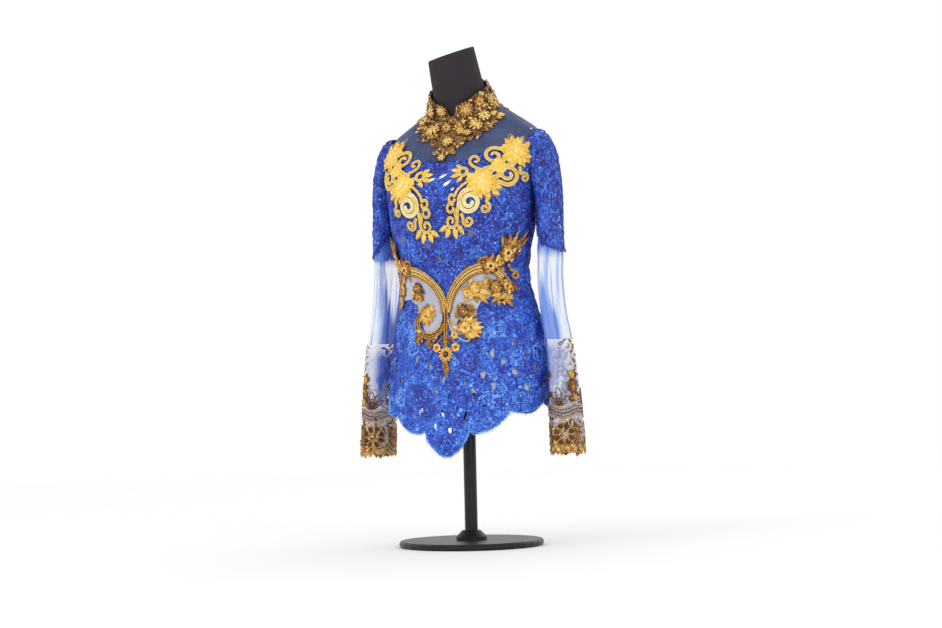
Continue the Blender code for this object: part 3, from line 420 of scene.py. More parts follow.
def cuffPaint():  # pale net: a blue panel inside the arm, browner below the band
    paint = Paint("cuff net", {"Roughness": 0.65, "Specular IOR Level": 0.25})
    flat = paint.uv()
    holes = paint.cells(flat, 700.0)
    cloud = paint.noise(flat, 120.0, 3.0, 0.7)
    dense, low = paint.attribute("dense"), paint.attribute("low")
    colour = paint.mix(paint.between(cloud, 0.35, 0.70), linear(176, 184, 212), linear(222, 225, 238))
    colour = paint.mix(paint.between(cloud, 0.60, 0.42) * low * 0.70, colour, linear(136, 98, 70))
    colour = paint.mix(dense, colour, linear(76, 112, 204))
    cover = paint.between(holes, 0.15, 0.62) * 0.25 + 0.34 + (cloud - 0.5) * 0.5 + dense * 0.50 + low * 0.15
    cover = cover * (paint.between(paint.attribute("rise") + cloud * 0.10, 0.05, 0.22) * 0.62 + 0.38)
    cover = paint.maths("MINIMUM", cover, 0.97)
    return paint.feed(Base_Color=colour, Alpha=cover, Normal=paint.bump(holes, 0.0003, 0.5))


looks = {
    "lace": bluePaint("blue corded lace"),
    "peplum": bluePaint("blue corded lace with gaps", gaps=True),
    "yoke": tullePaint("navy tulle", {"deep": linear(66, 78, 116), "light": linear(84, 98, 138)},
                       {"mesh": 0.22, "ground": 0.72}, 700.0),
    "sheer": tullePaint("sheer blue tulle", {"deep": linear(150, 185, 245), "light": linear(205, 226, 252),
                                            "fold": linear(84, 130, 226)},
                        {"mesh": 0.08, "ground": 0.10}, 600.0,
                        {"across": 62.0, "along": 3.2, "low": 0.50, "high": 0.60, "cover": 0.60,
                         "dense": 0.75}),
    "wingNet": tullePaint("pale net", {"deep": linear(186, 188, 200), "light": linear(212, 212, 220)},
                          {"mesh": 0.25, "ground": 0.70}, 800.0),
    "cuffNet": cuffPaint(),
    "old": goldPaint("old gold lace", linear(226, 176, 88), linear(120, 82, 52), linear(58, 46, 58),
                     patch=300.0),
    "jersey": clothPaint("black jersey", linear(36, 31, 36), linear(58, 52, 58), 0.8, 1600.0, 0.0003),
    "lining": clothPaint("grey beige lining", linear(128, 118, 124), linear(176, 164, 166), 0.5, 900.0,
                         0.0002,
                         linear(232, 226, 222)),
    "steel": clothPaint("black painted steel", linear(20, 20, 22), linear(30, 30, 33), 0.32, 300.0, 0.00005),
    "cap": clothPaint("black cap", linear(22, 19, 22), linear(34, 30, 34), 0.6, 500.0, 0.0001),
    "bead": goldPaint("clear bead", linear(255, 255, 255), linear(225, 232, 245), linear(190, 200, 220),
                      metal=0.1),
}

print("stage: cloth panels")
hemLobes = [  # start and end in degrees, their heights, drop, solid's columns
    (-22, 22, -0.276, -0.276, 0.049, 6), (22, 55, -0.276, -0.240, 0.018, 4),
    (55, 90, -0.240, -0.207, 0.016, 4), (90, 124, -0.207, -0.222, 0.020, 3),
    (124, 158, -0.222, -0.228, 0.022, 3), (158, 202, -0.228, -0.228, 0.028, 6)]
bodyCut = {"columns": 121, "backColumns": 61, "rows": 130, "seam": 0.00015, "sideRadius": 0.120,
           "clothRadius": 0.135}
panels = {  # place, hand, first and last degree, side
    "front": ("front", "", -90, 90, 1), "backL": ("back", "Left", 90, 180, 1),
    "backR": ("back", "Right", 90, 180, -1)}


def hemUp(degrees):
    degrees = abs(degrees)
    start, end, startUp, endUp, drop, _ = next(row for row in hemLobes if degrees <= row[1] + 1e-6)
    t = (degrees - start) / (end - start)
    return startUp + t * (endUp - startUp) - drop * max(0.0, sin(pi * t)) ** 0.7


def necklineUp(degrees):
    turn = sin(radians(degrees)) ** 2
    return 0.233 + 0.045 * turn if abs(degrees) <= 90 else 0.250 + 0.028 * turn


def armholeAngle(up, front):
    if up < armhole["foot"]:
        return 0.5 * pi
    angles = np.linspace(0.5 * pi, 0.15 if front else pi - 0.15, 240)
    x = torsoPoint(angles, np.full_like(angles, up))[:, 0]
    limit = armhole["x"] + armhole["tuck"]
    return 0.5 * pi if x[0] <= limit else float(angles[np.argmax(x <= limit)])


armholeUps = np.linspace(-0.34, 0.36, 141)
armholeTable = {front: np.array([armholeAngle(u, front) for u in armholeUps]) for front in (True, False)}


def panelAngles(degrees, up, front, side):
    edge = np.interp(up, armholeUps, armholeTable[front])
    halfSeam = bodyCut["seam"] / bodyCut["sideRadius"]
    if front:
        return np.radians(degrees) / (0.5 * pi) * (edge - halfSeam)
    fromBack = (pi - np.radians(degrees)) / (0.5 * pi)
    return side * (pi - halfSeam - fromBack * (pi - edge - 2 * halfSeam))


def gridFaces(rows, columns, closed=False, keep=None):
    faces = []
    for i in range(rows - 1):
        for j in range(columns if closed else columns - 1):
            after = (j + 1) % columns
            corner = (i * columns + j, i * columns + after, (i + 1) * columns + after, (i + 1) * columns + j)
            if keep is None or keep(corner):
                faces.append(corner)
    return faces


def faceOut(made, centre=None):  # turns a sheet's faces away from the line up the middle
    mesh = made.data
    total = 0.0
    for face in mesh.polygons:
        middle = face.center
        axis = centre(middle) if centre else Vector((0, 0, middle.z))
        total += face.normal.dot(middle - axis) * face.area
    if total < 0:
        mesh.flip_normals()
    return made


def wearOn(made, slotName, *nodes):
    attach(made, "root")
    if nodes:
        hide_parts(*nodes)
    return made


def settle(made):  # keeps what the modifiers make as a plain mesh
    bpy.context.view_layer.update()
    shown = made.evaluated_get(bpy.context.evaluated_depsgraph_get())
    done = bpy.data.meshes.new_from_object(shown)
    made.modifiers.clear()
    made.data = done
    return made


def thicken(made, wall=0.0008):
    solid = made.modifiers.new("wall", "SOLIDIFY")
    solid.thickness, solid.offset = wall, 0.0
    return settle(made)


def creases(angle, up):  # soft drag lines: at the waist, from the bust and over the hips
    depth = np.zeros_like(angle)
    for lineAngle, lineUp, slope, length, width, deep in creaseLines:
        for side in (-1, 1):
            across = up - lineUp - slope * (side * angle - lineAngle)
            along = (side * angle - lineAngle) / length
            depth += deep * np.exp(-((across / width) ** 2) - along**2)
    return depth


creaseLines = [  # angle, height, slope, length, width, depth
    (1.15, 0.030, 0.030, 0.50, 0.0060, 0.0013), (1.30, 0.008, -0.020, 0.45, 0.0055, 0.0012),
    (1.20, -0.022, -0.060, 0.50, 0.0065, 0.0010), (1.10, 0.120, 0.110, 0.25, 0.0070, 0.0010),
    (0.75, 0.075, 0.040, 0.35, 0.0080, 0.0008), (2.40, 0.020, 0.030, 0.60, 0.0065, 0.0014),
    (2.60, -0.012, -0.010, 0.55, 0.0060, 0.0012), (2.20, -0.050, -0.060, 0.50, 0.0080, 0.0010),
    (2.00, 0.150, -0.100, 0.35, 0.0090, 0.0010)]


def puff(angle, up):  # the unevenness of thick corded lace
    across = 0.125 * angle
    return (0.5 * np.sin(across * 210 + 3 * np.sin(up * 97)) * np.sin(up * 233 + 2 * np.sin(across * 83))
            + 0.5 * np.sin(across * 407 + up * 311) * np.sin(up * 389 - across * 173))


def gapSeeds(columns, rows, front):
    seeds = []
    for i in range(rows - 5 if front else rows - 4, rows - 1):
        for j in range(1, columns - 1):
            if (i + j) % 2 == 0:
                seeds.append((i, j))
    if front:
        seeds += [(2, columns // 2 - 3), (2, columns // 2 - 1), (2, columns // 2 + 1)]
    return seeds


def solidStops(front):  # the angles of the solid's columns
    low, high = (-90, 90) if front else (90, 180)
    stops = {float(hand * stop) for start, end, _, _, _, steps in hemLobes
             for stop in np.round(np.linspace(start, end, steps + 1), 4) for hand in (1, -1)}
    return sorted(stop for stop in stops if low <= stop <= high)


solidRows = 18
solidColumns = {front: solidStops(front) for front in (True, False)}


def gapShapes(front):  # middle, half width, half height, lean and phase of each gap
    stops = solidColumns[front]
    draw = random.Random(11 if front else 12)
    for i, j in gapSeeds(len(stops) - 1, solidRows - 1, front):
        middle = (0.5 * (stops[j] + stops[j + 1]), (i + 0.5) / (solidRows - 1))
        wide, tall = 0.0036 + 0.0022 * draw.random(), 0.0062 + 0.0036 * draw.random()
        yield middle, wide, tall, draw.uniform(-0.8, 0.8), draw.uniform(0, 6.28)


def raggedEdge(turn, phase):
    return 1 + 0.12 * np.sin(3 * turn + phase) + 0.08 * np.sin(5 * turn - phase)


def gapDistance(degrees, share, front):  # metres outside the nearest gap, less than zero inside one
    spread = np.full(degrees.shape, 0.02)
    for middle, wide, tall, lean, phase in gapShapes(front):
        x = np.radians(degrees - middle[0]) * gapScale["across"]
        y = (share - middle[1]) * gapScale["along"]
        x, y = x + lean * y, y - lean * x
        turn = np.arctan2(y, x)
        reach = np.hypot(x / wide, y / tall) - raggedEdge(turn, phase)
        spread = np.minimum(spread, reach * wide)
    return spread


gapScale = {"across": 0.14, "along": 0.50}  # metres for each radian and for the panel's whole length


def gapOutlines(front):  # each gap's edge, in degrees and share of the panel's length
    turn = np.linspace(0, 2 * pi, 18)
    for k, (middle, wide, tall, lean, phase) in enumerate(gapShapes(front)):
        reach = raggedEdge(turn, phase) + 0.14
        x, y = reach * wide * np.cos(turn), reach * tall * np.sin(turn)
        x, y = (x - lean * y) / (1 + lean * lean), (y + lean * x) / (1 + lean * lean)
        spots = np.stack([middle[0] + np.degrees(x / gapScale["across"]), middle[1] + y / gapScale["along"]],
                         -1)
        yield spots, 0.45 + 0.1 * (k % 5)


barePatches = [  # angle, height and radius in millimetres of thin places
    (22, 0.118, 6), (30, 0.098, 7), (-6, 0.052, 7), (24, 0.036, 6), (46, 0.168, 6), (-18, 0.075, 5),
    (38, 0.048, 6), (9, -0.004, 5), (-52, 0.092, 6), (60, 0.086, 6), (-30, 0.030, 5), (14, 0.022, 5)]


def nodeName(piece, place, hand):
    return f"{piece}_{place}_{hand[0].lower()}" if hand else f"{piece}_{place}"


def bodicePanel(place, hand, first, last, side):
    rows, columns = bodyCut["rows"], bodyCut["columns" if first < 0 else "backColumns"]
    degrees = np.linspace(first, last, columns)
    top = np.array([necklineUp(d) for d in degrees]) - bodyCut["seam"]
    low = np.array([hemUp(d) for d in degrees])
    share = np.linspace(0, 1, rows)[:, None]
    up = top + share * (low - top)
    angle = np.stack([panelAngles(degrees, u, first < 0, side) for u in up])
    lift = np.maximum(lifts["lace"] + 0.0012 + 0.0005 * puff(angle, up) - creases(angle, up), 0.0040)
    gap = gapDistance(np.broadcast_to(degrees, up.shape), np.broadcast_to(share, up.shape), first < 0)
    uv = np.stack([bodyCut["clothRadius"] * angle, up], -1).reshape(-1, 2)
    flatGap = gap.ravel()
    faces = gridFaces(rows, columns, keep=lambda c: max(flatGap[list(c)]) > -0.0012)
    made = addMesh(f"bodice{place.capitalize()}{hand}", lifted(angle, up, lift).reshape(-1, 3), faces,
                   looks["peplum"], uv)
    inside = np.minimum(share * 0.5 + 0.002, (1 - share) * 0.5 - 0.004)
    bare = np.full(up.shape, 0.02)
    for degree, height, radius in barePatches:
        away = np.hypot(gapScale["across"] * (angle - radians(degree)), up - height)
        bare = np.minimum(bare, away - mm * radius)
    cover = np.clip(np.minimum(np.minimum(inside, gap - 0.003), bare - 0.001) / 0.003, 0, 1)
    tucked = np.where(up > armhole["foot"], armhole["x"] - np.abs(torsoPoint(angle, up)[..., 0]), 0.02)
    cover = cover * np.clip(tucked / 0.002 + 0.5, 0, 1)
    skirt = cover * np.clip((-0.030 - up) / 0.04, 0.12, 1) * np.clip((inside - 0.004) / 0.006, 0, 1)
    keepNumbers(made.data, gap=gap, cover=cover, skirt=skirt, bare=bare)
    return wearOn(faceOut(made), "blue_lace", nodeName("bodice", place, hand))


bodice = {key: bodicePanel(*row) for key, row in panels.items()}


def simpleSheet(name, angle, up, lift, material):
    uv = np.stack([bodyCut["clothRadius"] * angle, up], -1).reshape(-1, 2)
    points = lifted(angle, up, lift).reshape(-1, 3)
    return faceOut(addMesh(name, points, gridFaces(*angle.shape), material, uv))


yokeCut = {"columns": 97, "backColumns": 49, "rows": 36, "seam": 0.00015, "collarSeam": 0.345}


def yokePanel(place, hand, first, last, side):
    degrees = np.linspace(first, last, yokeCut["columns" if first < 0 else "backColumns"])
    low = np.array([necklineUp(d) for d in degrees]) + yokeCut["seam"] - 0.004
    top = np.full_like(low, yokeCut["collarSeam"] - yokeCut["seam"])
    up = low + np.linspace(0, 1, yokeCut["rows"])[:, None] * (top - low)
    angle = np.stack([panelAngles(degrees, u, first < 0, side) for u in up])
    ripple = 0.00035 * np.sin(9 * angle + 40 * up) * np.sin(70 * up)
    made = simpleSheet(f"yoke{place.capitalize()}{hand}", angle, up, lifts["lace"] + 0.0004 + ripple,
                       looks["yoke"])
    return wearOn(made, "navy_tulle", nodeName("yoke", place, hand))


yoke = {key: yokePanel(*row) for key, row in panels.items()}


liningCut = {"foot": -0.205, "top": 0.170, "columns": 73, "rows": 60, "seam": 0.00125}


def liningPanel(name, front, node):
    quarter = 0.5 * pi - liningCut["seam"]
    angle = np.linspace(-quarter, quarter, liningCut["columns"])[None, :]
    if not front:
        angle = wrapTurn(angle + pi) % (2 * pi)
    up = np.linspace(liningCut["top"], liningCut["foot"], liningCut["rows"])[:, None]
    angle, up = np.broadcast_arrays(angle, up)
    made = simpleSheet(name, angle, up, np.full(angle.shape, lifts["lining"] + 0.0006), looks["lining"])
    return wearOn(thicken(made), "lining", node)


liningFront, liningBack = (liningPanel(f"lining{place}", place == "Front", f"lining_{place.lower()}")
                           for place in ("Front", "Back"))

print("stage: sleeves")
upperRings = np.array([  # outer x and up, inner x and up, half depth, middle, gather
    (0.1484, 0.3015, 0.1484, 0.1740, 0.0460, 0.012, 0), (0.1610, 0.3000, 0.1486, 0.1680, 0.0490, 0.013, 0),
    (0.1715, 0.2890, 0.1488, 0.1610, 0.0510, 0.014, 0), (0.1800, 0.2710, 0.1490, 0.1540, 0.0520, 0.015, 0),
    (0.1860, 0.2470, 0.1492, 0.1470, 0.0520, 0.015, 0), (0.1900, 0.2170, 0.1494, 0.1390, 0.0520, 0.015, 0),
    (0.1922, 0.1840, 0.1496, 0.1300, 0.0510, 0.015, 0), (0.1934, 0.1500, 0.1497, 0.1180, 0.0500, 0.015, 0),
    (0.1940, 0.1170, 0.1498, 0.1010, 0.0490, 0.014, 0), (0.1944, 0.0790, 0.1497, 0.0770, 0.0480, 0.014, 0),
    (0.1956, 0.0650, 0.1485, 0.0640, 0.0494, 0.014, 0)])
lowerRings = np.array([
    (0.1942, 0.0786, 0.1498, 0.0766, 0.0475, 0.014, 0.0004),
    (0.1925, 0.0500, 0.1495, 0.0490, 0.0470, 0.013, 0.0018),
    (0.1915, 0.0200, 0.1495, 0.0195, 0.0465, 0.012, 0.0024),
    (0.1935, -0.0150, 0.1515, -0.0150, 0.0460, 0.011, 0.0026),
    (0.1980, -0.0500, 0.1550, -0.0500, 0.0455, 0.010, 0.0024),
    (0.2045, -0.0800, 0.1585, -0.0800, 0.0455, 0.010, 0.0014),
    (0.2095, -0.1046, 0.1610, -0.1046, 0.0460, 0.010, 0.0004)])
cuffRings = np.array([
    (0.2095, -0.1050, 0.1610, -0.1050, 0.0460, 0.010, 0),
    (0.2150, -0.1450, 0.1640, -0.1450, 0.0465, 0.010, 0),
    (0.2195, -0.1900, 0.1658, -0.1900, 0.0475, 0.010, 0),
    (0.2235, -0.2350, 0.1672, -0.2350, 0.0485, 0.010, 0),
    (0.2265, -0.2800, 0.1682, -0.2800, 0.0495, 0.010, 0),
    (0.2285, -0.3150, 0.1690, -0.3150, 0.0500, 0.010, 0)])
sleeveCut = {"columns": 120, "scallops": 7, "scallopDrop": 0.007, "gathers": 6, "lead": 14,
             "clothRadius": 0.036,
             "rows": {"upper": 90, "lower": 70, "cuff": 80}}


def sleevePoint(rings, side, share, turn, inset=0.0, drop=0.0):
    at = np.asarray(share) * (len(rings) - 1)
    index = np.arange(len(rings))
    outX, outUp, inX, inUp, deep, middle, gather = (through(index, rings[:, k], at) for k in range(7))
    acrossX, acrossUp = outX - inX, outUp - inUp
    half = 0.5 * np.hypot(acrossX, acrossUp)
    wave = gather * np.cos(sleeveCut["gathers"] * turn) - inset
    along = (half + wave) * np.cos(turn)
    x = side * (0.5 * (outX + inX) + along * acrossX / (2 * half))
    z = waistHeight + 0.5 * (outUp + inUp) + along * acrossUp / (2 * half) - drop
    return np.stack([x, middle + (deep + wave) * np.sin(turn), z], -1)


def sleeveAxis(rings, side):
    def nearest(point):
        at = np.clip(np.interp(-(point.z - waistHeight), -0.5 * (rings[:, 1] + rings[:, 3]),
                               np.arange(len(rings))), 0, len(rings) - 1)
        place = [np.interp(at, np.arange(len(rings)), rings[:, k]) for k in (0, 2, 5)]
        return Vector((side * 0.5 * (place[0] + place[1]), place[2], point.z))
    return nearest


def laceEnd(turn):  # the lace stops higher inside the arm, in small scallops
    return 1 - 0.22 * (0.5 - 0.5 * np.cos(turn)) ** 1.3 - 0.020 * np.abs(np.sin(4.5 * turn + 0.6))


def tubeGrid(rows):  # the turn round the arm and the share of the length
    turn = np.linspace(0, 2 * pi, sleeveCut["columns"], endpoint=False)[None, :]
    return np.broadcast_arrays(turn, np.linspace(0, 1, rows)[:, None])


def sleeveSheet(name, rings, side, rows, inset, material, length, drop=None, end=None, lead=0):
    turn, share = tubeGrid(rows)
    share = share * end(turn) if end else share
    points = sleevePoint(rings, side, share, turn, inset(turn, share), drop(turn, share) if drop else 0.0)
    if lead:  # rows that run up inside the upper sleeve
        above, rise = np.broadcast_arrays(turn[:1], np.linspace(0.66, 0.895, lead)[:, None])
        inside = sleevePoint(upperRings, side, rise, above, upperInset(above, rise) + 0.0012)
        points = np.concatenate([inside, points])
        turn, share = np.concatenate([above, turn]), np.concatenate([rise - 1, share])
    radius = sleeveCut["clothRadius"]
    uv = np.stack([radius * turn + side, -length * share], -1).reshape(-1, 2)
    faces = gridFaces(rows + lead, sleeveCut["columns"], True)
    made = addMesh(name, points.reshape(-1, 3), faces, material, uv)
    layer = made.data.uv_layers["cut"]  # the last column's faces run on round the tube
    loops = np.empty(len(made.data.loops) * 2, dtype=np.float32)
    layer.data.foreach_get("uv", loops)
    loops = loops.reshape(-1, 4, 2)
    jump = loops[:, :, 0].max(axis=1) - loops[:, :, 0].min(axis=1) > 0.1
    first = jump[:, None] & (loops[:, :, 0] < side + 0.1)
    loops[:, :, 0] += np.where(first, radius * 2 * pi, 0)
    layer.data.foreach_set("uv", loops.ravel())
    return faceOut(made, sleeveAxis(rings, side))


def upperInset(turn, share):
    above = (share - 0.62 - 0.05 * np.cos(turn)) / 0.05
    fold = 0.0012 * np.exp(-(((share - 0.80) / 0.06) ** 2)) * (1 + np.cos(turn - 2.6))
    fold = fold + 0.0013 * np.exp(-(above**2)) * (1 + np.cos(turn + 2.4))
    bumps = 0.5 * np.sin(turn * 17 + 9 * np.sin(share * 19)) * np.sin(share * 71 + 3 * np.sin(turn * 3))
    return 0.0006 + fold - 0.0004 * bumps


def lowerInset(turn, share):
    hold = np.sin(pi * np.clip(share, 0, 1)) ** 0.6
    fine = 0.5 * np.sin(13 * turn + 2.5 * np.sin(4 * share)) + 0.5 * np.sin(21 * turn - 3 * share)
    return 0.0008 - hold * 0.0011 * fine


def cuffInset(turn, share):
    return 0.0008 + 0.0004 * np.sin(5 * turn + 4 * share)


def cuffDrop(turn, share):
    scallop = np.abs(np.sin(0.5 * sleeveCut["scallops"] * turn))
    return sleeveCut["scallopDrop"] * scallop * np.clip((share - 0.85) / 0.15, 0, 1)


def inside(turn):  # 1 along the inside of the arm
    return np.clip((np.cos(turn - pi) - 0.15) * 2.2, 0, 1)


def upperCover(turn, share, side):  # a smoother stretch on the back of the arm
    smooth = np.exp(-((wrapTurn(side * (turn + 0.5 * pi) - 0.25) / 0.75) ** 2))
    return (1 - 0.92 * smooth * np.clip((share - 0.60) * 6, 0, 1)) * np.clip((1.02 - share) * 30, 0, 1)


def lowerDense(rows):  # where the tulle is drawn together
    turn, share = tubeGrid(rows)
    share = np.concatenate([np.full((sleeveCut["lead"], sleeveCut["columns"]), -0.1), share])
    turn = np.broadcast_to(turn[:1], share.shape)
    edge = np.clip((share - 0.42 + 0.14 * np.sin(5 * turn) + 0.06 * np.sin(11 * turn)) * 5, 0, 1)
    return np.maximum(inside(turn) * edge, np.clip(0.95 - share * 6, 0, 0.95))


def cuffPanel(turn, share):
    edge = 0.42 + 0.05 * np.sin(5 * turn) + 0.03 * np.sin(13 * turn)
    return inside(turn) * np.clip((edge - share) * 14, 0, 1)


def addSleeve(tag, side):
    hand, rows = tag[0].lower(), sleeveCut["rows"]
    upper = sleeveSheet(f"upperSleeve{tag}", upperRings, side, rows["upper"], upperInset, looks["lace"],
                        0.21, end=laceEnd)
    lower = sleeveSheet(f"lowerSleeve{tag}", lowerRings, side, rows["lower"], lowerInset, looks["sheer"],
                        0.183, lead=sleeveCut["lead"])
    cuff = sleeveSheet(f"cuffNet{tag}", cuffRings, side, rows["cuff"], cuffInset, looks["cuffNet"],
                       0.215, cuffDrop)
    turn, share = tubeGrid(rows["cuff"])
    keepNumbers(upper.data, cover=upperCover(*tubeGrid(rows["upper"]), side))
    keepNumbers(lower.data, dense=lowerDense(rows["lower"]))
    keepNumbers(cuff.data, dense=cuffPanel(turn, share), low=np.clip((share - 0.60) * 12, 0, 1), rise=share)
    wearOn(upper, "blue_lace", f"sleeve_upper_{hand}")
    wearOn(lower, "sheer_tulle", f"sleeve_lower_{hand}")
    wearOn(cuff, "brown_lace", f"cuff_{hand}")
    return {"upper": upper, "lower": lower, "cuff": cuff}


hands = {"Left": 1, "Right": -1}
sleeves = {tag: addSleeve(tag, side) for tag, side in hands.items()}

print("stage: collar and bib")
collarCut = {"columns": 110, "rows": 26, "seam": 0.00015, "neckRadius": 0.055}


def collarTop(degrees):
    return 0.371 + 0.012 * np.minimum(1.0, degrees / 55) + 0.0025 * np.abs(np.sin(np.radians(5 * degrees)))


def collarHalf(tag, side):
    share = np.linspace(1, 0, collarCut["rows"])[:, None]
    notch = 0.02 + 0.17 * share
    across = np.linspace(0, 1, collarCut["columns"])[None, :]
    angle = notch + across * (pi - collarCut["seam"] / collarCut["neckRadius"] - notch)
    low = yokeCut["collarSeam"] + collarCut["seam"]
    up = low + share * (collarTop(np.degrees(angle)) - low)
    lump = 0.0007 * np.sin(angle * 43 + up * 300) * np.sin(up * 520 + 2 * np.sin(angle * 17))
    points = lifted(side * angle, up, lifts["lace"] + 0.0008 + lump)
    uv = np.stack([collarCut["neckRadius"] * side * angle, up], -1).reshape(-1, 2)
    made = addMesh(f"collar{tag}", points.reshape(-1, 3), gridFaces(*angle.shape), looks["old"], uv)
    faceOut(made, lambda p: Vector((0, 0.01 - 0.9 * (p.z - 0.845), p.z)))
    return wearOn(thicken(made, 0.0010), "gold_lace", f"collar_{tag[0].lower()}")


bibEdge = np.array([(0, 0.238), (7, 0.250), (14, 0.257), (28, 0.274), (40, 0.284), (50, 0.300), (62, 0.314),
                    (76, 0.329)])


def addBib():
    degrees = np.linspace(-76, 76, 121)
    low = through(*bibEdge.T, np.abs(degrees)) + 0.0050 + 0.0042 * (1 + np.sin(degrees * 0.62))
    share = np.linspace(1, 0, 30)[:, None]
    up = low + share * (yokeCut["collarSeam"] - 0.001 - low)
    angle = np.broadcast_to(np.radians(degrees), up.shape)
    lump = 0.0006 * np.sin(angle * 30 + up * 260) * np.sin(up * 420 + 2 * np.sin(angle * 14))
    made = simpleSheet("bibGround", angle, up, lifts["bib"] + 0.0008 + lump, looks["old"])
    return wearOn(thicken(made), "gold_lace", "collar_bib")


collars = [collarHalf(tag, side) for tag, side in hands.items()]
bib = addBib()

print("stage: dress form and stand")
formCut = {"columns": 96, "foot": -0.190, "top": 0.450, "rows": 100,
           "lip": ((0.99, -0.0008), (0.965, -0.0015), (0.93, -0.0015), (0.90, -0.0008), (0.87, 0.0010),
                   (0.86, 0.0040))}  # scale and sink of each ring inside the neck's rim


def addForm():
    around = wrapTurn(np.linspace(0, 2 * pi, formCut["columns"], endpoint=False))
    rings = [torsoPoint(around, np.full_like(around, up))
             for up in np.linspace(formCut["foot"], formCut["top"], formCut["rows"])]
    rim = rings[-1]
    middle = rim.mean(axis=0)
    tip, lean = np.radians(torsoRows[-1, [4, 6]])
    normal = np.cross((0, -cos(tip), -sin(tip)), (cos(lean), 0, sin(lean)))
    for scale, sink in formCut["lip"]:
        rings.append(middle + scale * (rim - middle) - sink * normal)
    points = np.concatenate(rings + [rings[0].mean(axis=0)[None], rings[-1].mean(axis=0)[None]])
    count = formCut["columns"]
    faces = gridFaces(len(rings), count, True)
    last = (len(rings) - 1) * count
    faces += [(len(points) - 2, (j + 1) % count, j) for j in range(count)]
    faces += [(len(points) - 1, last + j, last + (j + 1) % count) for j in range(count)]
    form = addMesh("dressForm", points, faces, looks["jersey"])
    work = bmesh.new()
    work.from_mesh(form.data)
    bmesh.ops.recalc_face_normals(work, faces=work.faces)
    work.to_mesh(form.data)
    work.free()
    return wearOn(form, "form_jersey", "dress_form")


form = addForm()
for node, look in (("neck_cap", "cap"), ("stand_base", "steel"), ("stand_pole", "steel"),
                   ("stand_flange", "steel")):
    solid = frame["nodes"][node]
    solid.data.materials.clear()
    solid.data.materials.append(looks[look])
print("stage: embroidery tools")


def newTree(name, **sizes):  # a tree with its named inputs, and their identifiers
    tree = bpy.data.node_groups.new(name, "GeometryNodeTree")
    tree.interface.new_socket("Geometry", in_out="INPUT", socket_type="NodeSocketGeometry")
    tree.interface.new_socket("Geometry", in_out="OUTPUT", socket_type="NodeSocketGeometry")
    keys = {}
    for key, (kind, value) in sizes.items():
        socket = tree.interface.new_socket(key, in_out="INPUT", socket_type="NodeSocket" + kind)
        if value is not None:
            socket.default_value = value
        keys[key] = socket.identifier
    return tree, tree.nodes.new("NodeGroupInput").outputs, keys


def grow(tree, kind, inputs, out=0, **settings):
    return addNode(tree, kind, settings, inputs, out)


def finishTree(tree, geometry, material):
    shaded = grow(tree, "GeometryNodeSetShadeSmooth", {0: geometry})
    painted = grow(tree, "GeometryNodeSetMaterial", {0: shaded, 2: material})
    tree.links.new(painted, tree.nodes.new("NodeGroupOutput").inputs[0])


def named(tree, name, kind="FLOAT"):
    return grow(tree, "GeometryNodeInputNamedAttribute", {0: name}, data_type=kind)


def sweepTree():  # wires to round cords, each point with its thickness
    tree, given, keys = newTree("cord sweep", Sides=("Int", 6), Finish=("Material", None))
    curve = grow(tree, "GeometryNodeMeshToCurve", {0: given["Geometry"]})
    circle = grow(tree, "GeometryNodeCurvePrimitiveCircle", {0: given["Sides"], 4: 1.0})
    swept = grow(tree, "GeometryNodeCurveToMesh", {0: curve, 1: circle, 2: named(tree, "thick"), 3: True})
    solid = grow(tree, "GeometryNodeRealizeInstances", {0: swept})
    finishTree(tree, solid, given["Finish"])
    return tree, keys


def stampTree():  # a shape set on every point, turned and sized by its attributes
    tree, given, keys = newTree("stamps", Stamp=("Object", None), Finish=("Material", None))
    shape = grow(tree, "GeometryNodeObjectInfo", {0: given["Stamp"]}, out=4)
    turn = grow(tree, "FunctionNodeAxesToRotation", {0: named(tree, "face", "FLOAT_VECTOR"),
                1: named(tree, "aim", "FLOAT_VECTOR")}, primary_axis="Z", secondary_axis="X")
    placed = grow(tree, "GeometryNodeInstanceOnPoints",
                  {0: given["Geometry"], 2: shape, 5: turn, 6: named(tree, "size", "FLOAT_VECTOR")})
    solid = grow(tree, "GeometryNodeRealizeInstances", {0: placed})
    finishTree(tree, solid, given["Finish"])
    return tree, keys


